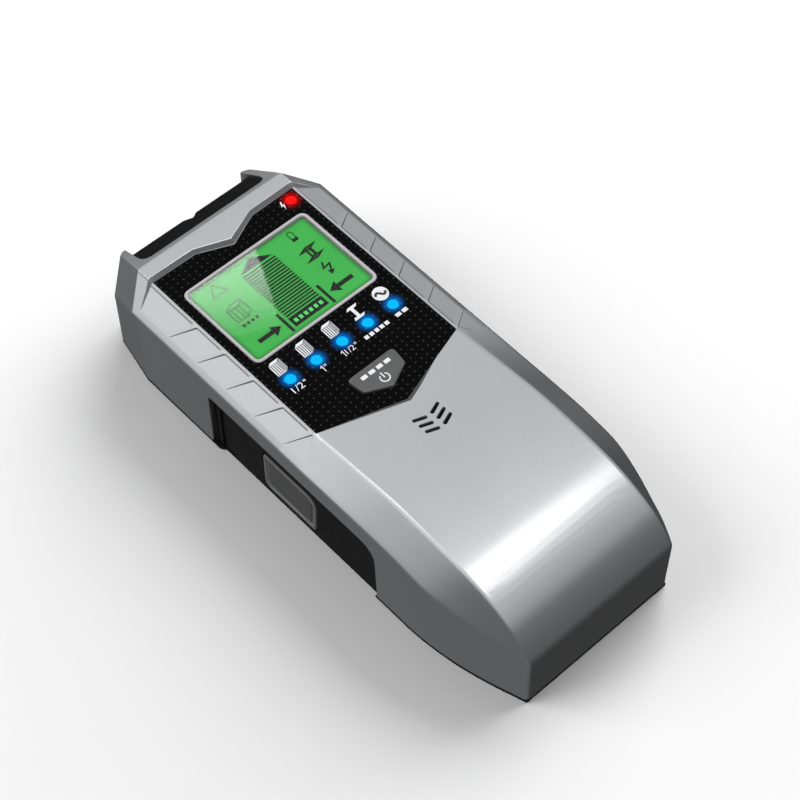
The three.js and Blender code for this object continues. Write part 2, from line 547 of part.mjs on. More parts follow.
function ledLamp([x, y]) {
  const { radius } = LED;
  const lens = turned(x, y, [[0, 27.2], [radius + 0.25, 27.2], [radius + 0.25, 28.1], [radius, 28.1],
    [radius, PANEL_Z - 0.25], [radius * 0.8, PANEL_Z + 0.05], [0, PANEL_Z + 0.12]], 18);
  const leg = (dx) => box(x + dx - 0.25, x + dx + 0.25, y - 0.25, y + 0.25, BOARD.top + 0.05, 27.4);
  return join(lens, leg(-1.1), leg(1.1));
}

// ---------------------------------------------------------------- boards, sensors and power
function mainBoard() {
  const { half, tail, head, bottom, top } = BOARD;
  return cut(prism(rectangle(-half, half, tail, head, 1), bottom, top, 3),
    ...BOARD_SCREWS.map(([x, y]) => post(x, y, 20, 30, 1.3, 14)));
}
const controllerChip = () => box(-5, 5, 116, 126, BOARD.bottom - 1.6, BOARD.bottom - 0.1);
const sensorBoard = () =>
  prism(rectangle(-SENSOR.half, SENSOR.half, SENSOR.tail, SENSOR.head, 2), SENSOR.bottom, SENSOR.top, 3);

function sensorCoil() {
  const bottom = SENSOR.top + 0.1;
  return post(0, COIL.y, bottom, bottom + COIL.height, COIL.radius, 32)
    .subtract(post(0, COIL.y, 0, 20, COIL.hole, 32));
}

// Flat cable from the sensor board up to the main board.
function sensorRibbon() {
  const strip = [[99.7, 5.1], [99.7, 5.6], [96.9, 5.6], [95.3, 10], [95.3, 19], [96.9, 23.3], [100, 23.5],
    [100, 24], [96.5, 23.8], [94.8, 19.2], [94.8, 9.8], [96.6, 5.1]];
  return sidePrism(strip.reverse(), -6, 6);
}

function buzzer() {
  const { y, radius, top } = BUZZER;
  const [bottom, hole] = [BOARD.top + 0.1, 1.2];
  return turned(0, y, [[0, bottom], [radius, bottom], [radius, top - 0.6], [radius - 0.6, top], [hole, top],
    [hole, top - 1], [0, top - 1]], 28);
}

function battery() {
  const { half, tail, body, height, bottom, stud } = BATTERY;
  const block = prism(rectangle(-half, half, bottom, bottom + height, 2.5), 0, body, 4)
    .rotate([90, 0, 0]).translate([0, tail + body, 0]);
  const from = tail + body - 0.1;
  return join(block, alongY(-TERMINAL.x, from, from + stud + 0.1, TERMINAL.positive),
    alongY(TERMINAL.x, from, from + stud + 0.1, TERMINAL.negative));
}

// A round bar along Y at the height of the battery's terminals.
const alongY = (x, y0, y1, radius) =>
  post(x, 0, 0, y1 - y0, radius, 16).rotate([-90, 0, 0]).translate([0, y0, BATTERY_Z]);

function batterySnap() {
  const { tail, head, half, reach } = SNAP;
  const cover = prism(rectangle(-half, half, BATTERY_Z - reach, BATTERY_Z + reach, 2.6), 0, head - tail, 4)
    .rotate([90, 0, 0]).translate([0, head, 0]);
  const socketEnd = BATTERY.tail + BATTERY.body + BATTERY.stud + 0.3;
  return cut(cover, alongY(-TERMINAL.x, tail - 1, socketEnd, TERMINAL.positive + 0.3),
    alongY(TERMINAL.x, tail - 1, socketEnd, TERMINAL.negative + 0.3));
}

// Lead from the snap up to the main board.
function lead(x) {
  const z = BATTERY_Z;
  const points = [[x, SNAP.head + 0.3, z], [x, 64.2, z + 0.6], [x * 1.2, 67, z + 4.4],
    [x * 1.2, 68.2, z + 8.4], [x, 68.2, BOARD.bottom - 0.3]];
  const path = new THREE.CatmullRomCurve3(points.map((p) => new THREE.Vector3(...p)));
  const section = outline(rectangle(-0.6, 0.6, -0.6, 0.6, 0.35));
  return solidFrom(new THREE.ExtrudeGeometry(section, { steps: 16, extrudePath: path, curveSegments: 1 }));
}

// ---------------------------------------------------------------- screws
function crossScrew(x, y, headZ, headHeight, headRadius, shankRadius, tip) {
  const screw = turned(x, y, [[0, headZ], [headRadius, headZ], [headRadius, headZ + headHeight],
    [shankRadius, headZ + headHeight], [shankRadius, tip - 1], [0, tip]], 18);
  const arm = headRadius * 0.55;
  return cut(screw, box(x - arm, x + arm, y - 0.3, y + 0.3, headZ - 1, headZ + 0.8),
    box(x - 0.3, x + 0.3, y - arm, y + arm, headZ - 1, headZ + 0.8));
}
const baseScrew = ([x, y]) => crossScrew(x, y, 1.1, 1.9, 2.6, 1.2, 16);
const boardScrew = ([x, y]) => crossScrew(x, y, BOARD.bottom - 1.6, 1.4, 2, 0.75, 30);

// ---------------------------------------------------------------- assembly
const stud_finder = new THREE.Group();
stud_finder.position.y = -LENGTH / 2;

function add(name, solid, finish) {
  const mesh = new THREE.Mesh(geometryFrom(solid), finish);
  mesh.name = name;
  stud_finder.add(mesh);
}

add('top_shell', topShell(), paint.silver);
add('base_shell', baseShell(), paint.black);
add('battery_door', batteryDoor(), paint.black);
add('head_insert', headInsert(), paint.black);
add('left_grip', grip(-1), paint.rubber);
add('right_grip', grip(1), paint.rubber);
add('display_overlay', displayOverlay(), paint.panel);
add('display_frame', displayFrame(), paint.trim);
add('display_window', displayWindow(), paint.clear);
add('lcd_panel', lcdPanel(), paint.lcd);
add('lcd_backlight', lcdBacklight(), paint.diffuser);
add('lcd_connector', lcdConnector(), paint.rubber);
add('mode_button', modeButton(), paint.key);
add('mode_switch', modeSwitch(), paint.steel);
add('mode_switch_plunger', modePlunger(), paint.black);
add('scan_button', scanButton(), paint.darkKey);
add('scan_switch', scanSwitch(), paint.steel);
add('scan_switch_plunger', scanPlunger(), paint.black);
add('scan_switch_board', scanBoard(), paint.board);
ledPlaces.forEach((place, i) => add(`mode_led_${i + 1}`, ledLamp(place), paint.blue));
add('warning_led', ledLamp([WARNING_LED.x, WARNING_LED.y]), paint.red);
add('main_board', mainBoard(), paint.board);
add('controller_chip', controllerChip(), paint.black);
add('sensor_board', sensorBoard(), paint.board);
add('sensor_coil', sensorCoil(), paint.copper);
add('sensor_ribbon', sensorRibbon(), paint.white);
add('buzzer', buzzer(), paint.black);
add('battery', battery(), paint.cell);
add('battery_snap', batterySnap(), paint.blackWire);
add('battery_lead_red', lead(-4), paint.redWire);
add('battery_lead_black', lead(4), paint.blackWire);
padPlaces.forEach((place, i) => add(`glide_pad_${i + 1}`, glidePad(place), paint.felt));
BASE_SCREWS.forEach((place, i) => add(`housing_screw_${i + 1}`, baseScrew(place), paint.steel));
BOARD_SCREWS.forEach((place, i) => add(`board_screw_${i + 1}`, boardScrew(place), paint.steel));

export default stud_finder;
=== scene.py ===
"""Stud finder: the looks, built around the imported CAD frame.
Blender works in metres; shapes here are written in millimetres, with y counted from the tail face."""
import math
from contextlib import contextmanager

import bmesh
import bpy
from mathutils import Matrix, Vector


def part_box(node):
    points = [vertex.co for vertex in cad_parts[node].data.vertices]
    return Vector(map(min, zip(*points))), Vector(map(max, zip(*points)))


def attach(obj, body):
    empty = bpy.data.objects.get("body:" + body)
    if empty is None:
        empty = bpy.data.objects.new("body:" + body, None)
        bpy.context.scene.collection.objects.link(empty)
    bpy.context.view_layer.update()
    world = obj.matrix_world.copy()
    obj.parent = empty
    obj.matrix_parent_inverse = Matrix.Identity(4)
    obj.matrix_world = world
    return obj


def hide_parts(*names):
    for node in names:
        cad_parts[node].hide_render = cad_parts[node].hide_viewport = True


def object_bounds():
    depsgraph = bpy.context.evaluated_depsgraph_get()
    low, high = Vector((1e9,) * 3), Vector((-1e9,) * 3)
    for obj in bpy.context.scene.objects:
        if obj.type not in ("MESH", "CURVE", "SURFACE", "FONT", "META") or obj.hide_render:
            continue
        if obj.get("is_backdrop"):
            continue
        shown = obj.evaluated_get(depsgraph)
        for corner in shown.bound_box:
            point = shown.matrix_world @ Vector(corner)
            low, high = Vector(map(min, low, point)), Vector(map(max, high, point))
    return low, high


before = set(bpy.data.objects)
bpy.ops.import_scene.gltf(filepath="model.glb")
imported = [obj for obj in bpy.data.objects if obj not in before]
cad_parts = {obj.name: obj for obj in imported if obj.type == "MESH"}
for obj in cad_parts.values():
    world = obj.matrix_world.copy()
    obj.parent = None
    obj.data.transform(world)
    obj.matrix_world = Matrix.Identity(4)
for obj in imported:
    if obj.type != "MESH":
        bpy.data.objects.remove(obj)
cad_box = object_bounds()

MM = 0.001
TAIL = cad_box[0].y / MM  # where y = 0 of the shapes lies in the frame
LENGTH = cad_box[1].y / MM - TAIL
RIM_HALF, SHOULDER_HALF, SHOULDER_Z = 33, 34.1, 30.3
WALL = 2


class Place:
    """Box of a CAD node in millimetres, y counted from the tail face."""

    def __init__(self, node):
        low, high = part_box(node)
        self.x0, self.y0, self.z0 = low.x / MM, low.y / MM - TAIL, low.z / MM
        self.x1, self.y1, self.z1 = high.x / MM, high.y / MM - TAIL, high.z / MM
        self.x, self.y, self.z = (self.x0 + self.x1) / 2, (self.y0 + self.y1) / 2, (self.z0 + self.z1) / 2


OVERLAY = Place("display_overlay")
FRAME = Place("display_frame")
LCD = Place("lcd_panel")
WINDOW = Place("display_window")
MODE = Place("mode_button")
LAMPS = [Place(f"mode_led_{i}") for i in range(1, 6)]
WARNING = Place("warning_led")
PANEL_Z = OVERLAY.z1
PANEL = {"half": OVERLAY.x1 + 0.15, "tail": 80.2, "head": OVERLAY.y1 + 0.15, "tip": 72.5}
BEZEL = {"z": 35.8, "half": 25.4, "head": 152.2}
LED_RADIUS = STEM_RADIUS = 1.6


# ---- solids
def linked(name, data):
    """New object with this data, in the scene."""
    obj = bpy.data.objects.new(name, data)
    bpy.context.scene.collection.objects.link(obj)
    return obj


@contextmanager
def editing(data):
    """A mesh opened as a BMesh, and written back afterwards."""
    shape = bmesh.new()
    shape.from_mesh(data)
    yield shape
    shape.to_mesh(data)
    shape.free()


def solid(verts, faces):
    """Closed mesh in millimetres with its faces turned outward."""
    data = bpy.data.meshes.new("shape")
    data.from_pydata([tuple(v) for v in verts], [], faces)
    with editing(data) as shape:
        bmesh.ops.recalc_face_normals(shape, faces=shape.faces)
    return linked("shape", data)


def circle(sides):
    """Angles of evenly spaced points round a circle."""
    return [2 * math.pi * k / sides for k in range(sides)]


def skin(rings):
    """Closed skin over rings that have the same number of points, capped at both ends."""
    count = len(rings[0])
    faces = [tuple(reversed(range(count)))]
    for row in range(len(rings) - 1):
        for i in range(count):
            a, b = row * count + i, row * count + (i + 1) % count
            faces.append((a, b, b + count, a + count))
    faces.append(tuple(range((len(rings) - 1) * count, len(rings) * count)))
    return solid([p for ring in rings for p in ring], faces)


def band(loops):
    """Closed ring: loops follow one another round its section and the last one meets the first."""
    count, rows = len(loops[0]), len(loops)
    faces = []
    for row in range(rows):
        for i in range(count):
            a, b = row * count + i, row * count + (i + 1) % count
            c, d = (row + 1) % rows * count + i, (row + 1) % rows * count + (i + 1) % count
            faces.append((a, b, d, c))
    return solid([p for loop in loops for p in loop], faces)


def outline(corners, steps=5):
    """Closed outline through (a, b, radius) corners; a corner with no radius stays sharp."""
    points = []
    for i, corner in enumerate(corners):
        here, radius = Vector(corner[:2]), corner[2] if len(corner) > 2 else 0
        if radius <= 0:
            points.append(tuple(here))
            continue
        before = (Vector(corners[i - 1][:2]) - here).normalized()
        after = (Vector(corners[(i + 1) % len(corners)][:2]) - here).normalized()
        reach = radius / math.tan(math.acos(max(-1, min(1, before.dot(after)))) / 2)
        start, end = here + before * reach, here + after * reach
        for k in range(steps + 1):
            t = k / steps
            points.append(tuple((1 - t) ** 2 * start + 2 * t * (1 - t) * here + t * t * end))
    return points


def rectangle(x0, x1, y0, y1, radius=0):
    return [(x0, y0, radius), (x1, y0, radius), (x1, y1, radius), (x0, y1, radius)]


def rounded_edge(level, radius, gap=0, steps=3):
    """(level, gap) steps of a rounded upper edge."""
    turns = [math.pi / 2 * k / steps for k in range(steps + 1)]
    return [(level - radius + radius * math.sin(a), gap + radius - radius * math.cos(a)) for a in turns]


def upright(corners, levels, steps=5):
    """Prism over corners(gap) outlines in x and y, at (z, gap) levels."""
    return skin([[(x, y, z) for x, y in outline(corners(gap), steps)] for z, gap in levels])


def sideways(corners, levels, side, steps=5):
    """Prism over corners(gap) outlines in y and z, at (x, gap) levels measured out to one side."""
    return skin([[(side * x, y, z) for y, z in outline(corners(gap), steps)] for x, gap in levels])


def box(x0, x1, y0, y1, z0, z1):
    return upright(lambda gap: rectangle(x0, x1, y0, y1), [(z0, 0), (z1, 0)])


def turned(x, y, profile, sides=40):
    """Solid of revolution; profile is (radius, z) upward, with no point on the axis."""
    return skin([[(x + r * math.cos(a), y + r * math.sin(a), z) for a in circle(sides)] for r, z in profile])


def post(x, y, z0, z1, radius):
    return turned(x, y, [(radius, z0), (radius, z1)], sides=32)


def boolean(target, operation, *tools):
    for tool in tools:
        modifier = target.modifiers.new("cut", "BOOLEAN")
        modifier.operation, modifier.solver, modifier.object = operation, "MANIFOLD", tool
        evaluated = target.evaluated_get(bpy.context.evaluated_depsgraph_get())
        result = bpy.data.meshes.new_from_object(evaluated)
        target.modifiers.clear()
        target.data = result
        bpy.data.objects.remove(tool)
    return target


def cut(target, *tools):
    return boolean(target, "DIFFERENCE", *tools)


def join(target, *others):
    return boolean(target, "UNION", *others)


def copy(obj):
    return linked("copy", obj.data.copy())


def merged(objects):
    """Several separate solids as one object."""
    data = bpy.data.meshes.new("merged")
    with editing(data) as shape:
        for obj in objects:
            shape.from_mesh(obj.data)
            bpy.data.objects.remove(obj)
    return linked("merged", data)


def bevel(obj, width, angle=35):
    """Rounded edges; width in millimetres on an object already in metres."""
    modifier = obj.modifiers.new("edges", "BEVEL")
    modifier.width, modifier.segments = width * MM, 2
    modifier.limit_method, modifier.angle_limit = "ANGLE", math.radians(angle)


def smooth(obj, angle):
    obj.data.polygons.foreach_set("use_smooth", [True] * len(obj.data.polygons))
    obj.data.set_sharp_from_angle(angle=math.radians(angle))
    modifier = obj.modifiers.new("normals", "WEIGHTED_NORMAL")
    modifier.keep_sharp = True


def place(obj, name, finish, nodes=(), body="housing", angle=35, edge=0):
    """Puts a finished solid into the frame, riding on its body and standing for CAD nodes."""
    obj.name = obj.data.name = name
    obj.data.transform(Matrix.Scale(MM, 4) @ Matrix.Translation((0, TAIL, 0)))
    if edge:
        bevel(obj, edge)
    smooth(obj, angle)
    obj.data.materials.clear()
    obj.data.materials.append(SHADERS[finish].material)
    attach(obj, body)
    if nodes:
        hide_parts(*nodes)
    return obj


# ---- node materials
class Nodes:
    """Short ways to add nodes to a tree."""

    def __init__(self, tree):
        self.tree = tree

    def node(self, kind, **values):
        node = self.tree.nodes.new(kind)
        for key, value in values.items():
            if key.startswith("in_"):
                node.inputs[key[3:].replace("_", " ")].default_value = value
            else:
                setattr(node, key, value)
        return node

    def link(self, source, target):
        self.tree.links.new(source, target)

    def math(self, operation, a, b=None):
        node = self.node("ShaderNodeMath", operation=operation)
        for socket, value in zip(node.inputs, (a, b)):
            if isinstance(value, (int, float)):
                socket.default_value = value
            elif value is not None:
                self.link(value, socket)
        return node.outputs[0]

    def blend(self, amount, first, second, blend_type="MIX"):
        node = self.node("ShaderNodeMix", data_type="RGBA", blend_type=blend_type)
        for key, value in (("Factor", amount), ("A", first), ("B", second)):
            socket = node.inputs[key]
            if isinstance(value, tuple):
                socket.default_value = (*value, 1)
            elif isinstance(value, (int, float)):
                socket.default_value = value
            else:
                self.link(value, socket)
        return node.outputs["Result"]

    def axes(self, source):
        split = self.node("ShaderNodeSeparateXYZ")
        self.link(source, split.inputs[0])
        return split.outputs

    def ranged(self, value, low, high, to_low=0.0, to_high=1.0):
        node = self.node("ShaderNodeMapRange", clamp=True)
        for key, number in (("From Min", low), ("From Max", high), ("To Min", to_low), ("To Max", to_high)):
            node.inputs[key].default_value = number
        self.link(value, node.inputs["Value"])
        return node.outputs["Result"]


class Shader(Nodes):
    """A Principled material with helpers that add procedural detail in object space."""

    def __init__(self, name, color, roughness, metallic=0.0, **sockets):
        self.material = bpy.data.materials.new(name)
        self.material.use_nodes = True
        super().__init__(self.material.node_tree)
        self.shader = self.tree.nodes["Principled BSDF"]
        self.set(Base_Color=(*color, 1), Roughness=roughness, Metallic=metallic, **sockets)
        self.color = color
        self.space = self.node("ShaderNodeTexCoord").outputs["Object"]

    def set(self, **sockets):
        for key, value in sockets.items():
            self.shader.inputs[key.replace("_", " ")].default_value = value
        return self

    def noise(self, size, detail=2.0, stretch=(1, 1, 1)):
        """Noise whose cells are about size millimetres across."""
        scaled = self.node("ShaderNodeMapping")
        scaled.inputs["Scale"].default_value = stretch
        self.link(self.space, scaled.inputs["Vector"])
        noise = self.node("ShaderNodeTexNoise", in_Scale=1 / (size * MM), in_Detail=detail)
        self.link(scaled.outputs["Vector"], noise.inputs["Vector"])
        return noise.outputs["Fac"]

    def tint(self, size, amount):
        """Slow variation of the base colour."""
        dark = tuple(c * (1 - amount) for c in self.color)
        light = tuple(min(1.0, c * (1 + amount)) for c in self.color)
        tone = self.blend(self.ranged(self.noise(size), 0.35, 0.65), dark, light)
        self.link(tone, self.shader.inputs["Base Color"])
        return self

    def rough(self, size, low, high, stretch=(1, 1, 1)):
        grain = self.ranged(self.noise(size, 3, stretch), 0.3, 0.7, low, high)
        self.link(grain, self.shader.inputs["Roughness"])
        return self

    def bump(self, size, height, detail=2.0, stretch=(1, 1, 1)):
        bump = self.node("ShaderNodeBump", in_Distance=height * MM, in_Strength=1.0)
        self.link(self.noise(size, detail, stretch), bump.inputs["Height"])
        self.link(bump.outputs["Normal"], self.shader.inputs["Normal"])
        return self

    def glow(self, color, strength):
        return self.set(Emission_Color=(*color, 1), Emission_Strength=strength)

    def shine(self, source):
        self.link(source, self.shader.inputs["Emission Color"])
        return self.set(Emission_Strength=1.0)

    def from_point(self, x, y, z):
        """Distance in metres from a point given in millimetres."""
        gap = self.node("ShaderNodeVectorMath", operation="DISTANCE")
        self.link(self.space, gap.inputs[0])
        gap.inputs[1].default_value = (x * MM, (y + TAIL) * MM, z * MM)
        return gap.outputs["Value"]


def silver_paint():
    paint = Shader("silver_paint", (0.50, 0.505, 0.515), 0.31, 0.9)
    return paint.tint(0.35, 0.03).rough(14, 0.29, 0.33).bump(0.16, 0.0012)


def black_plastic(name, level, roughness, specular):
    plastic = Shader(name, (level, level, level * 1.03), roughness, Specular_IOR_Level=specular)
    return plastic.tint(6, 0.12).rough(2.5, roughness - 0.06, roughness + 0.06).bump(0.45, 0.012, 4)


def panel_print_and_painted_glow():
    """Black membrane with a square grid of tiny grey dots, and a painted glow of lamp light round each lamp."""
    black, dot = (0.0018, 0.0018, 0.0020), (0.058, 0.058, 0.060)
    pitch = (2.1 * MM, 1.9 * MM)
    panel = Shader("panel_print_and_painted_glow", black, 0.4, Specular_IOR_Level=0.03)
    squares = []
    for where, step in zip(panel.axes(panel.space), pitch):
        steps = panel.math("ADD", panel.math("DIVIDE", where, step), 100.0)
        offset = panel.math("MULTIPLY", panel.math("SUBTRACT", panel.math("FRACT", steps), 0.5), step)
        squares.append(panel.math("MULTIPLY", offset, offset))
    away = panel.math("SQRT", panel.math("ADD", *squares))
    spot = panel.ranged(away, 0.13 * MM, 0.28 * MM, 1.0, 0.0)
    panel.link(panel.blend(spot, black, dot), panel.shader.inputs["Base Color"])
    # Painted light: emission round each lamp stands in for the lamp's light falling on the membrane.
    light = (0.0, 0.0, 0.0)
    for lamp, tone in [(p, (0.0, 0.16, 0.60)) for p in LAMPS] + [(WARNING, (0.50, 0.0, 0.0))]:
        fall = panel.ranged(panel.from_point(lamp.x, lamp.y, PANEL_Z), 1.45 * MM, 4.0 * MM, 1.0, 0.0)
        painted_halo = panel.blend(panel.math("POWER", fall, 2.2), (0.0, 0.0, 0.0), tone)
        light = panel.blend(1.0, light, painted_halo, "ADD")
    return panel.shine(light)


def lcd_glow():
    """Green backlight, darker round its edge where the frame shades it."""
    green = Shader("lcd_green", (0.002, 0.012, 0.003), 0.4, Specular_IOR_Level=0.1)
    tone = green.blend(green.ranged(green.noise(22), 0.3, 0.7), (0.036, 0.405, 0.058), (0.044, 0.445, 0.068))
    axes = green.axes(green.space)
    centre = ((FRAME.x0 + FRAME.x1) / 2, (FRAME.y0 + FRAME.y1) / 2 + TAIL)
    reach = (FRAME.x1 - centre[0] - 1, FRAME.y1 + TAIL - centre[1] - 1)
    inside = None
    for axis in (0, 1):
        offset = green.math("ABSOLUTE", green.math("SUBTRACT", axes[axis], centre[axis] * MM))
        share = green.ranged(offset, (reach[axis] - 1.6) * MM, reach[axis] * MM, 1.0, 0.35)
        inside = share if inside is None else green.math("MULTIPLY", inside, share)
    return green.shine(green.blend(inside, (0.0, 0.02, 0.0), tone))


def window_clear():
    """Thin clear sheet: what is behind shows through, under a faint, sharp reflection."""
    sheet = Shader("window_clear", (0.97, 1.0, 0.98), 0.02)
    clear = sheet.node("ShaderNodeBsdfTransparent", in_Color=(*sheet.color, 1))
    gloss = sheet.node("ShaderNodeBsdfGlossy", in_Color=(1, 1, 1, 1), in_Roughness=0.02)
    mix = sheet.node("ShaderNodeMixShader", in_Fac=0.013)
    sheet.link(clear.outputs[0], mix.inputs[1])
    sheet.link(gloss.outputs[0], mix.inputs[2])
    sheet.link(mix.outputs[0], sheet.tree.nodes["Material Output"].inputs["Surface"])
    sheet.tree.nodes.remove(sheet.shader)
    return sheet


def lamp_glow(name, color, core):
    lamp = Shader(name, tuple(c * 0.05 for c in color), 0.3, Specular_IOR_Level=0.05)
    return lamp.shine(lamp.blend(lamp.ranged(lamp.noise(0.9), 0.3, 0.7), color, core))


def key_plastic(name, color, roughness):
    key = Shader(name, color, roughness, Specular_IOR_Level=0.3)
    return key.tint(2, 0.06).bump(0.3, 0.006, 3)


def lit_print(name, color, strength):
    """Ink with a little light of its own, like the photo's bright marks."""
    # Painted light: the emission makes the ink glow, though it is no lamp.
    return Shader(name, color, 0.5).tint(1.2, 0.06).glow(color, strength)


SHADERS = {
    "silver": silver_paint(),
    "base": black_plastic("base_plastic", 0.008, 0.5, 0.2),
    "insert": black_plastic("insert_plastic", 0.0062, 0.55, 0.06),
    "rubber": black_plastic("grip_rubber", 0.011, 0.62, 0.2),
    "panel": panel_print_and_painted_glow(),
    "trim": Shader("frame_trim", (0.60, 0.565, 0.59), 0.5, Specular_IOR_Level=0.2).tint(3, 0.04),
    "glass": window_clear(),
    "lcd": lcd_glow(),
    "white_plastic": Shader("diffuser", (0.85, 0.87, 0.84), 0.5).tint(4, 0.05),
    "key": key_plastic("key_grey", (0.12, 0.12, 0.121), 0.5),
    "dark_key": key_plastic("key_dark", (0.15, 0.151, 0.15), 0.5),
    "rim": key_plastic("key_rim", (0.30, 0.30, 0.295), 0.45),
    "blue": lamp_glow("led_blue", (0.0, 0.47, 0.92), (0.0, 0.51, 0.96)),
    "red": lamp_glow("led_red", (0.95, 0.0, 0.0), (1.0, 0.012, 0.008)),
    "board": Shader("solder_mask", (0.012, 0.12, 0.04), 0.35).tint(3, 0.2).bump(0.8, 0.02),
    "copper": Shader("enamelled_copper", (0.65, 0.25, 0.09), 0.3, 1).bump(0.25, 0.05, 2, (1, 1, 6)),
    "steel": Shader("zinc_steel", (0.55, 0.56, 0.57), 0.3, 1).rough(0.6, 0.22, 0.42),
    "felt": Shader("felt", (0.045, 0.045, 0.048), 0.95, Sheen_Weight=0.4).tint(0.5, 0.3).bump(0.2, 0.12, 5),
    "cell": Shader("battery_sleeve", (0.03, 0.03, 0.04), 0.3, 0.4).tint(8, 0.15).rough(3, 0.25, 0.38),
    "red_wire": Shader("wire_red", (0.42, 0.015, 0.012), 0.4).tint(2, 0.1),
    "black_wire": Shader("wire_black", (0.01, 0.01, 0.01), 0.45).tint(2, 0.1),
    "ribbon": Shader("ribbon_white", (0.8, 0.8, 0.77), 0.5).bump(1.2, 0.08, 1, (6, 0.1, 0.1)),
    "print": lit_print("white_print", (0.70, 0.71, 0.73), 0.30),
    "grey_print": lit_print("grey_print", (0.30, 0.31, 0.32), 0.25),
    "dark_print": Shader("dark_print", (0.012, 0.012, 0.013), 0.5).tint(1.2, 0.1),
    "segment": Shader("lcd_segment", (0.002, 0.004, 0.002), 0.6, Specular_IOR_Level=0.1).tint(1, 0.2),
    "green_mark": Shader("lcd_mark", (0.03, 0.3, 0.06), 0.5).tint(1, 0.1).glow((0.06, 0.45, 0.09), 0.9),
}


# ---- outer form of the housing
def through(points):
    """Smooth curve through (y, value) points, read at any y."""
    def slope(i):
        before, after = points[max(i - 1, 0)], points[min(i + 1, len(points) - 1)]
        return (after[1] - before[1]) / (after[0] - before[0])

    def read(y):
        if y >= points[-1][0]:
            return points[-1][1]
        i = 0
        while y > points[i + 1][0]:
            i += 1
        span = points[i + 1][0] - points[i][0]
        t, p, q = (y - points[i][0]) / span, points[i][1], points[i + 1][1]
        return (p * (2 * t ** 3 - 3 * t * t + 1) + q * (3 * t * t - 2 * t ** 3)
                + slope(i) * span * (t ** 3 - 2 * t * t + t) + slope(i + 1) * span * (t ** 3 - t * t))
    return read


rim_half = through([(0, 25.5), (12, 29.3), (22, 31.6), (33, RIM_HALF - 0.1), (42, RIM_HALF)])
shoulder_half = through([(0, 25.8), (10, 29.1), (20, 32.1), (29, 33.9), (38, SHOULDER_HALF)])
shoulder_z = through([(0, 19.3), (5, 22.8), (12, 24.7), (26, 27.7), (41, 29.9), (52, SHOULDER_Z)])
ridge_half = through([(0, 25.5), (10, 25.4), (60, 25.2), (PANEL["tail"], 25.1)])
ridge_z = through([(0, 19.8), (4.2, 25), (8.5, 28.6), (17, 32.7), (26, 34.9), (48, 36.7), (62, 35.9),
                   (PANEL["tail"], 34.45)])

STRIP_HALF, STRIP_Z = 32, 31.62  # inner edge of the plain strip along each shoulder
FACET_HALF, FACET_Z, FACET_PITCH, FACET_SLANT, FACET_RAISE = 25.9, 34.05, 11.65, 4.35, 0.5
LIP_Z = PANEL_Z + 0.2
EDGE_RADII = (0, 0.9, 0.35, 0.25, 0.12, 0.8)


def ring(*right):
    """Section of the housing: up one side, round its edges, and mirrored."""
    line = [Vector(p) for p in right] + [Vector((0, right[-1][1], right[-1][2]))]
    side = [line[0]]
    for i in range(1, len(line) - 1):
        before, after = line[i - 1] - line[i], line[i + 1] - line[i]
        start = line[i] + before.normalized() * min(EDGE_RADII[i], before.length * 0.45)
        end = line[i] + after.normalized() * min(EDGE_RADII[i], after.length * 0.45)
        for t in (0, 0.25, 0.5, 0.75, 1):
            side.append((1 - t) ** 2 * start + 2 * t * (1 - t) * line[i] + t * t * end)
    return [(-p.x, p.y, p.z) for p in side] + [tuple(p) for p in reversed(side)]


def tail_ring(y, radius=1.0):
    """The edge round the tail face is turned over by radius."""
    inset = radius - math.sqrt(radius ** 2 - (radius - y) ** 2) if y < radius else 0
    shoulder = Vector((shoulder_half(y) - inset, y, shoulder_z(y) - 0.6 * inset))
    ridge = Vector((ridge_half(y) - inset, y, ridge_z(y) - 0.6 * inset))
    return ring((rim_half(y) - inset, y, 0), shoulder, shoulder.lerp(ridge, 0.236), shoulder.lerp(ridge, 0.6),
                shoulder.lerp(ridge, 0.78), ridge)


def facet_ring(y, rise):
    """The row of overlapping facets beside the panel: ends slant, raised next to the panel's lip."""
    return ring((RIM_HALF, y + FACET_SLANT, 0), (SHOULDER_HALF, y + FACET_SLANT, SHOULDER_Z),
                (STRIP_HALF, y + FACET_SLANT, STRIP_Z), (FACET_HALF, y, FACET_Z + rise),
                (25.5, y - 0.2, LIP_Z), (PANEL["half"], y - 0.4, LIP_Z))


def head_ring(edge_y, strip_y, facet_z, edge_z, half):
    return ring((RIM_HALF, strip_y, 0), (SHOULDER_HALF, strip_y, SHOULDER_Z), (STRIP_HALF, strip_y, STRIP_Z),
                (FACET_HALF, edge_y - 0.3, facet_z), (25.6, edge_y - 0.1, edge_z), (half, edge_y, edge_z))


def trim(shape, point, normal):
    """Removes everything beyond a plane and closes the cut."""
    result = bmesh.ops.bisect_plane(shape, geom=shape.verts[:] + shape.edges[:] + shape.faces[:], dist=1e-5,
                                    plane_co=point, plane_no=normal, clear_outer=True)
    edges = [e for e in result["geom_cut"] if isinstance(e, bmesh.types.BMEdge)]
    if edges:
        bmesh.ops.contextual_create(shape, geom=edges)


def trim_both(shape, point, normal):
    """The same cut on both sides of the object."""
    for side in (1, -1):
        trim(shape, (side * point.x, point.y, point.z), (side * normal.x, normal.y, normal.z))


def plane(point, normal):
    return Vector(point), Vector(normal).normalized()


CHEEK = plane((33.5, 146.6, SHOULDER_Z), (1, 0.21, -0.036))
CORNER = plane((23.1, 164.1, 29.2), (0.645, 0.764, 0.02))
UPPER_CORNER = plane((25.5, BEZEL["head"], BEZEL["z"]), (1.515, 0.938, 1.14))
NOSE_SLOPE = plane((0, BEZEL["head"], BEZEL["z"]), (0, 0.56, 1))
FRONT = plane((0, LENGTH, 0), (0, 1, 0))
BEZEL_TOP = plane((0, BEZEL["head"], BEZEL["z"]), (0, 0, 1))


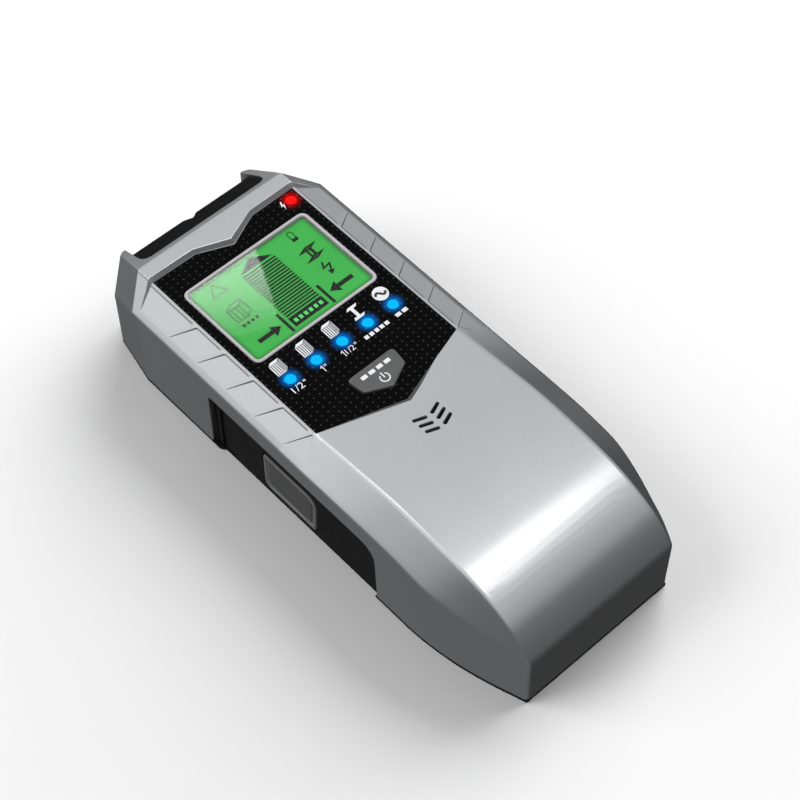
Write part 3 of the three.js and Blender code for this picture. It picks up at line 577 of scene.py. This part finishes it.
def round_planes(first, second, radius, steps=4):
    """Planes that turn the edge between two flats into a rounded one."""
    (p, n), (q, m) = first, second
    half = math.acos(n.dot(m)) / 2
    middle = (n + m).normalized()
    along = n.cross(m).normalized()
    corner = Matrix((n, m, along)).inverted() @ Vector((n.dot(p), m.dot(q), 0))
    centre = corner - middle * radius / math.cos(half)
    planes = []
    for k in range(steps):
        facing = n.slerp(m, (k + 0.5) / steps)
        planes.append((centre + facing * radius, facing))
    return planes


def bezel_tongue():
    """Edge of the bezel over the panel, with a blunt V pointing at the display."""
    half, head = PANEL["half"] + 1, PANEL["head"]
    foot = [(-half, head), (-10.1, head - 0.1), (0, head - 4.6), (10.1, head - 0.1), (half, head)]
    lip = [(-half, 148), (-10.3, 147.8), (0, 143.7), (10.3, 147.8), (half, 148)]

    def level(t, back, z):
        front = [(a + (c - a) * t, b + (d - b) * t + back) for (a, b), (c, d) in zip(foot, lip)]
        return [(x, y, z) for x, y in [*front, (half, 151.5), (-half, 151.5)]]

    rise = BEZEL["z"] - PANEL_Z
    tongue = skin([level(0, 0, 33), level(0, 0, PANEL_Z), level(0.86, 0, PANEL_Z + 0.82 * rise),
                   level(0.94, 0.04, PANEL_Z + 0.92 * rise), level(0.98, 0.14, PANEL_Z + 0.98 * rise),
                   level(1, 0.32, BEZEL["z"])])
    return boolean(tongue, "INTERSECT", box(-BEZEL["half"], BEZEL["half"], 140, 152, 32, 40))


def outer_form():
    """Housing as one closed form: rings along it, then the head's flats cut off."""
    tail_stations = [0, 0.06, 0.22, 0.45, 0.75, 1.1, 1.7, 2.4, 3.2, 4.2, 5.3, 6.4, 7.4, 8.5, 9.7, 11, 12.5, 14,
                     15.5, 17, 19, 21, 23.5, 26, 28.5, 31, 33.5, 36, *range(39, 73, 3), 74.5, 76.5, 78.5]
    rings = [tail_ring(y) for y in tail_stations]
    first_foot = PANEL["tail"] + 0.4
    rings.append(facet_ring(first_foot, 0.05))
    for k in range(5):
        steps = ((-0.05, 0), (0.12, FACET_RAISE * 0.85), (0.2, FACET_RAISE),
                 (1.85, 0.085), (2, 0.05), (2.15, 0.049))
        rings += [facet_ring(first_foot + k * FACET_PITCH + y, rise) for y, rise in steps[0 if k else 1:]]
    rings += [head_ring(PANEL["head"], 143.6, FACET_Z + 0.05, LIP_Z, PANEL["half"]),
              head_ring(147.75, 143.7, 35.2, 35.5, 25.25), head_ring(148.05, 143.75, 35.42, 35.73, 25.38),
              head_ring(148.5, 143.8, 35.5, BEZEL["z"], BEZEL["half"]),
              head_ring(LENGTH + 5, LENGTH + 5, 35.5, BEZEL["z"], BEZEL["half"])]
    body = skin(rings)
    with editing(body.data) as shape:
        for flat in (CHEEK, CORNER, UPPER_CORNER):
            trim_both(shape, *flat)
        trim(shape, *NOSE_SLOPE)
        trim(shape, *FRONT)
        for first, second, radius in ((CHEEK, CORNER, 1.2), (CORNER, FRONT, 1.0), (UPPER_CORNER, CHEEK, 0.6),
                                      (UPPER_CORNER, CORNER, 0.6), (UPPER_CORNER, BEZEL_TOP, 0.9),
                                      (UPPER_CORNER, NOSE_SLOPE, 0.7), (CORNER, NOSE_SLOPE, 0.6)):
            for flat in round_planes(first, second, radius):
                trim_both(shape, *flat)
        for flat in round_planes(BEZEL_TOP, NOSE_SLOPE, 2.5):
            trim(shape, *flat)
    return join(body, bezel_tongue())


def hollow():
    """Inside of the housing: the same lines, moved in by a wall."""
    def section(y, top):
        right = [(rim_half(y) - WALL, y, -1), (shoulder_half(y) - WALL, y, shoulder_z(y) - 0.6 * WALL),
                 (ridge_half(y) - 0.5 * WALL, y, top - WALL * 1.05)]
        return [(-x, b, z) for x, b, z in right] + right[::-1]

    stations = [WALL, 5, 9, 14, 20, 28, 38, 48, 58, 68, 79]
    sections = [section(y, ridge_z(y) - (0.8 if y < 12 else 0)) for y in stations]
    inside = skin([*sections, section(82, PANEL_Z), section(LENGTH + 5, PANEL_Z)])
    with editing(inside.data) as shape:
        for point, normal in (CHEEK, CORNER, UPPER_CORNER):
            trim_both(shape, point - normal * WALL, normal)
        trim(shape, (0, NOSE["rear"] - 2.3, 0), (0, 1, 0))
    return inside


# ---- outlines shared by neighbours
NOSE = {"rear": 154.3, "half": 22.1, "front": 20.2}
GRIP = {"tail": 48.5, "head": 115.3, "top": 24.4, "face": 32.2, "back": 30}
KEY = {"tail": 72.6, "head": 93.7, "low": 3.6, "high": 17.7, "face": 32.5}


def panel_outline(gap):
    half, tail, head = PANEL["half"] - gap, PANEL["tail"] + gap, PANEL["head"] - gap
    return [(-half, tail), (0, PANEL["tip"] + gap), (half, tail), (half, head), (10.1, head - 0.1),
            (0, head - 4.6), (-10.1, head - 0.1), (-half, head)]


def display_outline(gap):
    return rectangle(FRAME.x0 + gap, FRAME.x1 - gap, FRAME.y0 + gap, FRAME.y1 - gap, max(2.5 - gap, 0.6))


def mode_outline(gap):
    """Key with five sides, its point towards the tail."""
    near, far, head = 7.4 - gap, 8.2 - gap, 87.2 - gap
    return [(-near, 81.3, 1.4), (0, 77.7 + gap, 1.2), (near, 81.3, 1.4), (far, head, 1.4), (-far, head, 1.4)]


def grip_outline(gap, low):
    tail, head, top = GRIP["tail"] + gap, GRIP["head"] - gap, GRIP["top"] - gap
    return [(tail, low), (head, low), (head - 1.1, top, 2.4), (tail, top, 6)]


def key_outline(gap):
    tail, head, low, high = KEY["tail"] + gap, KEY["head"] - gap, KEY["low"] + gap, KEY["high"] - gap
    tight = max(0.9 - gap * 0.3, 0.5)
    return [(tail + 0.6, low, tight), (head, low, 3 - gap * 0.5), (head, high, tight), (tail, high, 4 - gap * 0.5)]


def nose_outline(gap, front):
    half, rear, tip = NOSE["half"] - gap, NOSE["rear"] + gap, NOSE["front"] - gap
    return [(-half, rear, 3), (half, rear, 3), (tip, front), (-tip, front)]


# ---- upper housing
def speaker_slots():
    """Three rows of slanting slots, mirrored, each with a turned-over mouth."""
    slots = []
    for side in (-1, 1):
        for row in range(3):
            angle, x, y = side * math.atan(0.4), side * 2.65, 65 - row * 2.42
            top = ridge_z(y)
            rings = []
            for z, gap in ((28, 0), (top - 0.3, 0), (top - 0.1, -0.07), (top + 0.02, -0.2), (top + 3, -0.2)):
                long, wide = 1.95 - gap, 0.42 - gap
                flat = outline(rectangle(-long, long, -wide, wide, wide * 0.95), 4)
                rings.append([(x + a * math.cos(angle) - b * math.sin(angle),
                               y + a * math.sin(angle) + b * math.cos(angle), z) for a, b in flat])
            slots.append(skin(rings))
    return merged(slots)


def panel_pocket():
    """Seat of the panel, with a drafted brim along the V at its tail end."""
    floor = panel_outline(0)
    shift = [(-0.1, 0), (0, -1.4), (0.1, 0), (0.1, 1), (0.1, 1), (0, 1), (-0.1, 1), (-0.1, 1)]

    def level(z, share):
        return [(x + a * share, y + b * share, z) for (x, y), (a, b) in zip(floor, shift)]

    half = PANEL["half"] + 0.2
    brim = skin([level(PANEL_Z, 0), level(PANEL_Z + 0.75, 1), level(PANEL_Z + 6, 1)])
    tail_end = boolean(brim, "INTERSECT", box(-half, half, 68, 100, PANEL_Z, PANEL_Z + 7))
    seat = upright(panel_outline, [(PANEL_Z - 0.8, 0), (PANEL_Z + 3, 0)])
    return join(seat, tail_end)


def grip_window(side):
    """Opening in the side wall for a grip, its mouth turned over."""
    rings = []
    lean = (SHOULDER_HALF - RIM_HALF) / SHOULDER_Z
    for inward, gap in ((8, 0), (0.4, 0), (0.18, -0.07), (0.03, -0.22), (-6, -0.3)):
        flat = outline(grip_outline(gap, -2), 6)
        rings.append([(side * (RIM_HALF + lean * z - inward), y, z) for y, z in flat])
    return skin(rings)


def top_cover():
    """Silver shell: hollow, with screw bosses, and open for all that shows through it."""
    screws = [Place(f"housing_screw_{i}") for i in range(1, 5)]
    board_screws = [Place(f"board_screw_{i}") for i in range(1, 5)]
    outer = cut(outer_form(), panel_pocket())
    bosses = [post(p.x, p.y, 9.5, 45, 3) for p in screws]
    bosses += [post(p.x, p.y, 26.1, 45, 2.4) for p in board_screws]
    bosses = boolean(merged(bosses), "INTERSECT", copy(outer))
    shell = join(cut(outer, hollow()), bosses)
    bores = [post(p.x, p.y, 9, 20, 1.5) for p in screws]
    bores += [post(p.x, p.y, 25.8, 31.4, 1) for p in board_screws]
    lamps = [post(p.x, p.y, 28, 60, LED_RADIUS + 0.3) for p in [*LAMPS, WARNING]]
    return cut(shell, merged(bores + lamps), box(-60, 60, -5, LENGTH + 5, -5, 1.6),
               upright(display_outline, [(28, 1.2), (60, 1.2)]), speaker_slots(),
               upright(mode_outline, [(28, -0.25), (60, -0.25)]),
               upright(lambda gap: nose_outline(gap, LENGTH + 5), [(-1, 0), (60, 0)], steps=8),
               grip_window(-1), grip_window(1))


place(top_cover(), "top_cover", "silver", ["top_shell"], angle=28)


# ---- head insert, grips and keys
def head_insert():
    """Black block between the horns, notched in front and hollow for the coil."""
    rear = NOSE["rear"]
    tall = upright(lambda gap: nose_outline(gap, LENGTH), [(1.6, 0.25), (60, 0.25)], steps=8)
    profile = [(rear - 1, 1.6), (LENGTH, 1.6), (LENGTH, 24.6, 1.6), (162.2, 28.7, 2.5), (rear, 34.4),
               (rear - 1, 34.4)]
    tall = boolean(tall, "INTERSECT", sideways(lambda gap: profile, [(-30, 0), (30, 0)], 1, steps=6))
    notch = upright(lambda gap: [(0, 160.5, 0.5), (5.7, 165.25), (5.7, 168), (-5.7, 168), (-5.7, 165.25)],
                    [(-2, 0), (40, 0)])
    return cut(tall, notch, box(-18.5, 18.5, rear - 3, 159.5, 4, 26))


def grip(side):
    """Soft pad with a rolled edge, a groove and a step near its head end."""
    face, head = GRIP["face"], GRIP["head"]
    pad = sideways(lambda gap: grip_outline(gap, 1.6),
                   [(GRIP["back"], 0.25), *rounded_edge(face, 0.4, 0.25)], side, steps=6)
    groove = sideways(lambda gap: rectangle(head - 2.1 + gap, head - 1.6 - gap, -1, 30),
                      [(face - 0.7, 0.1), (face - 0.55, 0), (face - 0.12, 0), (face + 1, -0.4)], side)
    ramp = [(face - 0.55, head - 3.7), (face + 1, head - 3.7), (face + 1, head - 11.3), (face - 0.55, head - 7.8)]
    step = skin([[(side * x, y, z) for x, y in ramp] for z in (-1, 30)])
    pad = cut(pad, groove, step)
    if side < 0:
        hole = [(20, -0.35), (face - 0.3, -0.35), (face + 0.05, -0.6), (60, -0.6)]
        pad = cut(pad, sideways(key_outline, hole, side))
    return pad


def scan_key():
    """Key with a raised rim round a dished face, on a flange and a stem."""
    face, back = KEY["face"], GRIP["back"]
    dish = [(face - depth, gap) for depth, gap in
            ((0, 0.75), (0.12, 0.95), (0.42, 1.12), (0.5, 1.35), (0.5, 2.6), (0.36, 2.9), (0.36, 3.4))]
    cap = sideways(key_outline, [(back, 0), *rounded_edge(face, 0.3), *dish], -1, steps=7)
    flange = sideways(key_outline, [(back - 1.1, -1.2), (back - 0.3, -1.2), (back - 0.3, 0.4), (back + 0.1, 0.4)],
                      -1, steps=7)
    switch = Place("scan_switch_plunger")
    stem = skin([[(-x, switch.y + STEM_RADIUS * math.cos(a), switch.z + STEM_RADIUS * math.sin(a))
                  for a in circle(20)] for x in (-switch.x0 + 0.2, back - 1)])
    return join(cap, flange, stem)


def scan_face():
    """Darker pad set into the dish of the key, with a groove round it."""
    face, gap = KEY["face"], 1.75
    return sideways(key_outline, [(face - 0.8, gap), *rounded_edge(face - 0.2, 0.25, gap)], -1, steps=7)


place(head_insert(), "nose_block", "insert", ["head_insert"], edge=0.3)
place(grip(-1), "grip_pad_left", "rubber", ["left_grip"], angle=30)
place(grip(1), "grip_pad_right", "rubber", ["right_grip"], angle=30)
place(scan_key(), "scan_key", "rim", ["scan_button"], body="scan_button", angle=30)
place(scan_face(), "scan_key_face", "dark_key", body="scan_button", angle=30)


# ---- control panel
def overlay():
    """Thin sheet of the panel, open for the display, the key and the lamps."""
    sheet = upright(panel_outline, [(PANEL_Z - 0.7, 0.15), *rounded_edge(PANEL_Z, 0.12, 0.15)])
    holes = [post(p.x, p.y, 30, 40, LED_RADIUS + 0.15) for p in [*LAMPS, WARNING]]
    return cut(sheet, upright(display_outline, [(30, -0.1), (40, -0.1)]), merged(holes),
               upright(mode_outline, [(30, -0.25), (40, -0.25)]))


def display_frame():
    """Raised ring round the display, rounded on both sides."""
    width, outside = 1.0, rounded_edge(FRAME.z1, 0.3)
    inside = [(z, width - gap) for z, gap in reversed(outside)]
    section = [(FRAME.z0, 0), *outside, *inside, (FRAME.z0, width)]
    return band([[(x, y, z) for x, y in outline(display_outline(gap), 8)] for z, gap in section])


def mode_key():
    """Key with a raised rim, on a flange and a stem."""
    top = MODE.z1
    cap = upright(mode_outline, [(31.9, 0), *rounded_edge(top, 0.35), (top, 0.75), (top - 0.14, 1.0),
                                 (top - 0.14, 2.2)], steps=7)
    flange = upright(lambda gap: rectangle(MODE.x0 + gap, MODE.x1 - gap, MODE.y0 + gap, MODE.y1 - gap, 1),
                     [(31, 0), (31.95, 0)])
    switch = Place("mode_switch_plunger")
    return join(cap, flange, post(0, switch.y, switch.z1 + 0.2, 31.1, STEM_RADIUS))


def window():
    return upright(display_outline, [(WINDOW.z0, 1.1), *rounded_edge(WINDOW.z1, 0.04, 1.1, 1)], steps=8)


def lens(lamp):
    """Domed lamp in a collar."""
    low, r = lamp.z0 + 1.3, LED_RADIUS
    dome = [(r * math.cos(a), PANEL_Z - 0.25 + 0.37 * math.sin(a)) for a in (0, 0.35, 0.7, 1.0, 1.3, 1.5)]
    return turned(lamp.x, lamp.y, [(r + 0.25, low), (r + 0.25, low + 0.9), (r, low + 0.9), *dome])


place(overlay(), "panel_sheet", "panel", ["display_overlay"])
place(display_frame(), "frame_ring", "trim", ["display_frame"], angle=50)
place(window(), "window_pane", "glass", ["display_window"])
place(mode_key(), "mode_key", "key", ["mode_button"], body="mode_button", angle=30)
for i, lamp in enumerate(LAMPS, 1):
    place(lens(lamp), f"mode_lens_{i}", "blue", [f"mode_led_{i}"])
place(lens(WARNING), "warning_lens", "red", ["warning_led"])


# ---- printed marks
PRINT = 0.03  # thickness of every mark
ICON_Y, LABEL_Y = 102.8, 93.4  # rows of the icons and of the labels beside the lamps


def plate(points, z):
    return skin([[(x, y, level) for x, y in points] for level in (z, z + PRINT)])


def block(x0, x1, y0, y1, z):
    return plate([(x0, y0), (x1, y0), (x1, y1), (x0, y1)], z)


def stroke(points, width, z, closed=False):
    """Line of even width through points, with mitred corners."""
    pts = [Vector(p) for p in points]
    count = len(pts)
    left, right = [], []
    for i, here in enumerate(pts):
        before = pts[i - 1] if i or closed else None
        after = pts[(i + 1) % count] if i + 1 < count or closed else None
        a = (here - before).normalized() if before is not None else (after - here).normalized()
        b = (after - here).normalized() if after is not None else a
        normal_a, normal_b = Vector((-a.y, a.x)), Vector((-b.y, b.x))
        miter = (normal_a + normal_b).normalized()
        reach = width / 2 / max(miter.dot(normal_a), 0.35)
        left.append(tuple(here + miter * reach))
        right.append(tuple(here - miter * reach))
    if closed:
        return band([[(x, y, level) for x, y in side] for side, level in
                     ((left, z), (left, z + PRINT), (right, z + PRINT), (right, z))])
    return plate(left + right[::-1], z)


def arc(x, y, radius, start, end, steps):
    """Points of an arc between two angles in degrees."""
    turn = [math.radians(start + (end - start) * k / steps) for k in range(steps + 1)]
    return [(x + radius * math.cos(a), y + radius * math.sin(a)) for a in turn]


def word(x0, x1, y0, y1, count, z, gap):
    """A row of plain blocks where the photographed unit has a word."""
    width = (x1 - x0 + gap) / count - gap
    return [block(x0 + i * (width + gap), x0 + i * (width + gap) + width, y0, y1, z) for i in range(count)]


def digits(text, x0, x1, y0, height, z):
    """Numerals from Blender's own font, as a thin solid."""
    curve = bpy.data.curves.new("digits", "FONT")
    curve.body, curve.size, curve.extrude, curve.resolution_u = text, 1, 0.01, 3
    maker = linked("digits", curve)
    data = bpy.data.meshes.new_from_object(maker.evaluated_get(bpy.context.evaluated_depsgraph_get()))
    bpy.data.objects.remove(maker)
    xs, ys = [v.co.x for v in data.vertices], [v.co.y for v in data.vertices]
    sx, sy = (x1 - x0) / (max(xs) - min(xs)), height / (max(ys) - min(ys))
    for v in data.vertices:
        v.co = (x0 + (v.co.x - min(xs)) * sx, y0 + (v.co.y - min(ys)) * sy, z + PRINT / 2 + v.co.z * 1.5)
    with editing(data) as shape:
        bmesh.ops.remove_doubles(shape, verts=shape.verts, dist=1e-5)
    return linked("digits", data)


def inch_marks(x, y, z):
    return [block(x, x + 0.22, y, y + 0.7, z), block(x + 0.45, x + 0.67, y, y + 0.7, z)]


def timber(x, y, z):
    """Drawn stud: front with grain, lit top and shaded side."""
    front = [(x - 1.9, y - 2.4), (x + 0.9, y - 2.4), (x + 0.9, y + 1.5), (x - 1.9, y + 1.5)]
    top = [(x - 1.9, y + 1.65), (x + 0.9, y + 1.65), (x + 1.9, y + 2.5), (x - 0.9, y + 2.5)]
    flank = [(x + 1.05, y - 2.35), (x + 1.95, y - 1.5), (x + 1.95, y + 2.3), (x + 1.05, y + 1.5)]
    grain = []
    for left in (x - 1.45, x - 0.8, x - 0.15, x + 0.5):
        grain.append(stroke([(left, y - 2.3), (left + 0.12, y - 0.6), (left, y + 1.45)], 0.26, z + 0.02))
    return [plate(front, z), plate(top, z)], [plate(flank, z)], grain


def beam(z):
    """Drawn steel section."""
    return plate([(6.9, 100.4), (10.0, 100.4), (10.9, 101.2), (9.3, 101.2), (9.3, 104.1), (10.4, 104.2),
                  (11.1, 105.0), (8.0, 105.0), (7.0, 104.2), (8.3, 104.1), (8.3, 101.3), (7.3, 101.3)], z)


def wave(z):
    """One period of a sine."""
    turn = [(k / 12, 2 * math.pi * k / 12) for k in range(13)]
    return stroke([(16.3 + 3.4 * share, ICON_Y + 0.75 * math.sin(a)) for share, a in turn], 0.75, z)


def bolt(z):
    return plate([(18.9, 145.3), (18.2, 143.6), (18.85, 143.75), (18.6, 142.1), (19.5, 144.1), (18.9, 143.95),
                  (19.3, 145.3)], z)


def panel_marks():
    z = PANEL_Z + 0.01
    white, grey, dark = [], [], []
    for lamp in LAMPS[:3]:
        lit, shaded, grain = timber(lamp.x, ICON_Y, z)
        white, grey, dark = white + lit, grey + shaded, dark + grain
    white += [beam(z), plate(arc(18.0, ICON_Y, 2.35, 0, 345, 23), z), bolt(z)]
    dark.append(wave(z + 0.02))
    for x0, x1, y, height in ((-20.4, -16.8, LABEL_Y, 2.1), (-1.8, 1.1, LABEL_Y + 0.2, 1.8)):
        white.append(digits("1/2", x0, x1, y, height, z))
    for x in (-10.2, -3.0):
        white.append(stroke([(x, LABEL_Y + 1.6), (x + 0.55, LABEL_Y + 2.05), (x + 0.55, LABEL_Y)], 0.27, z))
    for x in (-16.3, -9.0, 1.6):
        white += inch_marks(x, LABEL_Y + 1.4, z)
    for x0, x1, count, gap in ((4.9, 13.3, 5, 0.55), (16.0, 20.0, 2, 0.6)):
        white += word(x0, x1, LABEL_Y + 0.4, LABEL_Y + 1.6, count, z, gap)
    return merged(white), merged(grey), merged(dark)


def signal_marks(z):
    """Pointed stack of bars on a plate, with an upright tick on each side."""
    marks = [plate([(-5.6, 132.85), (5.6, 132.85), (0, 136.4)], z)]
    for k in range(19):
        middle = 131.9 - k * 0.99
        marks.append(block(-5.8, 5.8, middle - 0.29, middle + 0.29, z))
    return marks + [block(x0, x1, y0, y1, z) for x0, x1, y0, y1 in
                    ((-5.85, 5.85, 109.8, 113.3), (-7.6, -6.7, 109.0, 116.6), (6.85, 7.75, 109.0, 116.6))]


def arrow(tip, neck, tail, z):
    y, shaft, head = 112.7, 0.7, 2.0
    return plate([(tail, y - shaft), (neck, y - shaft), (neck, y - head), (tip, y), (neck, y + head),
                  (neck, y + shaft), (tail, y + shaft)], z)


def drawn_cube(z):
    front = [(-16.4, 121.2), (-12.7, 121.2), (-12.7, 125.7), (-16.4, 125.7)]
    back = [(-16.4, 125.9), (-14.7, 127.2), (-11.0, 127.2), (-11.0, 122.7), (-12.55, 121.2)]
    edges = [stroke(front, 0.28, z, closed=True), stroke(back, 0.28, z),
             stroke([(-12.6, 125.8), (-11.1, 127.0)], 0.28, z)]
    return edges + [stroke([(x, 121.4), (x + 0.15, 123.2), (x, 125.5)], 0.25, z) for x in (-15.3, -13.9)]


def drawn_battery(z):
    case = [(12.75, 132.2), (14.35, 132.2), (14.35, 135.2), (13.95, 135.7), (13.15, 135.7), (12.75, 135.2)]
    return [stroke(case, 0.3, z, closed=True), block(12.9, 14.2, 132.35, 133.2, z)]


def drawn_beam(z):
    marks = [block(12.8, 13.5, 124.7, 127.6, z), block(14.0, 14.9, 124.9, 127.8, z)]
    for y in (124.3, 127.9):
        flange = [(11.2, y - 0.35), (14.2, y - 0.35), (16.4, y + 0.45), (13.4, y + 0.45)]
        marks.append(stroke(flange, 0.75, z, closed=True))
    return marks


def lcd_marks():
    z = LCD.z1 + 0.01
    marks = signal_marks(z) + drawn_cube(z) + drawn_battery(z) + drawn_beam(z)
    marks += word(-16.3, -10.9, 118.9, 119.9, 4, z, 0.6)
    marks += [arrow(-8.6, -11.5, -16.5, z), arrow(8.7, 11.6, 16.8, z)]
    marks.append(stroke([(-16.1, 131.85), (-11.2, 131.85), (-13.65, 136.0)], 0.3, z, closed=True))
    marks.append(stroke([(13.7, 121.8), (12.6, 119.7), (15.0, 120.1), (13.9, 118.0)], 0.55, z))
    marks.append(plate([(12.9, 118.5), (13.2, 116.6), (14.9, 117.7)], z))
    pair = merged(marks), merged(word(-4.9, 4.9, 110.9, 112.2, 6, z + 0.02, 0.7))
    for obj in pair:
        obj.data.transform(Matrix.Translation((0.2, 0.25, 0)))
    return pair


def mode_marks():
    z = MODE.z1 - 0.13
    marks = word(-4.9, 5.0, 84.3, 85.5, 4, z, 0.8)
    marks.append(stroke(arc(0.1, 81.3, 1.35, 125, 415, 20), 0.36, z))
    marks.append(stroke([(0.1, 81.3), (0.1, 83.2)], 0.36, z))
    return merged(marks)


white, grey, dark = panel_marks()
place(white, "panel_marks_white", "print")
place(grey, "panel_marks_grey", "grey_print")
place(dark, "panel_marks_dark", "dark_print")
marks, green = lcd_marks()
place(marks, "lcd_segments", "segment")
place(green, "lcd_word_marks", "green_mark")
place(mode_marks(), "mode_marks", "print", body="mode_button")


# ---- pieces kept from the CAD
FINISHES = {
    "base": "base_shell battery_door mode_switch_plunger scan_switch_plunger controller_chip buzzer",
    "steel": "mode_switch scan_switch housing_screw board_screw", "red_wire": "battery_lead_red",
    "board": "scan_switch_board main_board sensor_board", "black_wire": "battery_snap battery_lead_black",
    "copper": "sensor_coil", "ribbon": "sensor_ribbon", "cell": "battery", "felt": "glide_pad",
    "lcd": "lcd_panel", "white_plastic": "lcd_backlight", "rubber": "lcd_connector left_grip right_grip",
    "silver": "top_shell", "insert": "head_insert", "panel": "display_overlay", "trim": "display_frame",
    "glass": "display_window", "key": "mode_button", "dark_key": "scan_button", "blue": "mode_led",
    "red": "warning_led",
}
NODE_FINISH = {node: finish for finish, nodes in FINISHES.items() for node in nodes.split()}
for name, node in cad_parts.items():
    node.data.materials.clear()
    node.data.materials.append(SHADERS[NODE_FINISH[name.rstrip("_0123456789")]].material)
    if not node.hide_render:
        bevel(node, 0.12, 40)


# ---- camera, light and floor
def make_camera():
    camera = linked("camera", bpy.data.cameras.new("camera"))
    camera.location = (-0.22347, -0.25046, 0.50235)
    camera.rotation_euler = (math.radians(35.01), 0, math.radians(-42.56))
    camera.data.lens, camera.data.sensor_width = 99, 36
    bpy.context.scene.camera = camera


def area_light(name, direction, distance, size, power):
    """Softbox that looks at the middle of the object, with its width and height in metres."""
    data = bpy.data.lights.new(name, "AREA")
    data.shape, data.size, data.size_y, data.energy = "RECTANGLE", size[0], size[1], power
    light = linked(name, data)
    light.location = Vector((0, 0, 0.02)) + Vector(direction).normalized() * distance
    light.rotation_euler = Vector(direction).to_track_quat("Z", "Y").to_euler()
    return light


def window_glare(pane):
    """Softbox seen only in the display window: its straight edge crosses the window at a slant,
    and it dies away in steps towards the tail."""
    receivers = bpy.data.collections.new("window_only")
    receivers.objects.link(pane)
    along, across = Vector((0.42, 0.907, 0)), Vector((-0.907, 0.42, 0))
    turn = Matrix((along, across, along.cross(across))).transposed().to_4x4()
    corner, width = Vector((457, 655, 1000)), 120
    strips = [(0, 150, 11.0), (-10, 0, 9.2), (-20, -10, 7.4), (-30, -20, 5.5), (-40, -30, 3.7), (-50, -40, 1.8)]
    for start, end, radiance in strips:
        data = bpy.data.lights.new("window_glare", "AREA")
        data.shape, data.size, data.size_y = "RECTANGLE", (end - start) * MM, width * MM
        data.energy = radiance * math.pi * data.size * data.size_y
        light = linked("window_glare", data)
        middle = corner + along * (start + end) / 2 + across * width / 2
        light.matrix_world = Matrix.Translation(middle * MM) @ turn
        light.light_linking.receiver_collection = receivers


def sky_light():
    """Wide soft room: brightest overhead and to the left, dim low down and below the horizon."""
    world = bpy.data.worlds.new("studio")
    world.use_nodes = True
    sky = Nodes(world.node_tree)
    x, y, z = sky.axes(sky.node("ShaderNodeTexCoord").outputs["Generated"])
    high = sky.math("ADD", sky.math("MULTIPLY", x, -0.47), 1.08)
    slant = sky.math("ADD", z, sky.math("ADD", sky.math("MULTIPLY", y, 0.5), sky.math("MULTIPLY", x, 0.35)))
    facing = sky.math("POWER", sky.ranged(slant, 0.0, 0.75), 2.0)
    above = sky.math("ADD", 0.18, sky.math("MULTIPLY", facing, sky.math("SUBTRACT", high, 0.18)))
    below = sky.ranged(x, 0.25, -0.2, 0.05, 0.19)
    upper = sky.ranged(z, -0.03, 0.03)
    lower = sky.math("MULTIPLY", below, sky.math("SUBTRACT", 1.0, upper))
    level = sky.math("ADD", sky.math("MULTIPLY", above, upper), lower)
    background = sky.tree.nodes["Background"]
    background.inputs["Color"].default_value = (0.985, 0.99, 1.0, 1)
    sky.link(level, background.inputs["Strength"])
    bpy.context.scene.world = world


def make_studio():
    area_light("ridge_light", (0.0, 0.41, 0.91), 0.9, (0.12, 0.35), 0.5)
    area_light("tail_strip", (0.28, -0.17, 0.93), 0.9, (0.17, 0.18), 0.92)
    window_glare(bpy.data.objects["window_pane"])
    sky_light()
    bpy.context.scene.view_settings.view_transform = "Standard"


def make_floor():
    """Plain floor with lights of its own, which set its shadow apart from the object's shine."""
    data = bpy.data.meshes.new("floor")
    with editing(data) as shape:
        bmesh.ops.create_grid(shape, x_segments=8, y_segments=8, size=3)
    floor = linked("floor", data)
    white = Shader("floor_white", (0.19, 0.19, 0.19), 0.7, Specular_IOR_Level=0.1)
    floor.data.materials.append(white.tint(300, 0.01).material)
    floor.visible_diffuse = floor.visible_glossy = False
    floor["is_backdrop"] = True
    receivers = bpy.data.collections.new("floor_only")
    receivers.objects.link(floor)
    for name, direction, size, power in (("floor_right", (0.80, 0.14, 0.52), 2.2, 268),
                                         ("floor_left", (-0.62, 0.48, 0.55), 1.4, 122)):
        area_light(name, direction, 2.0, (size, size), power).light_linking.receiver_collection = receivers


make_camera()
make_studio()
make_floor()

[[list(corner) for corner in limits] for limits in (cad_box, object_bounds())]
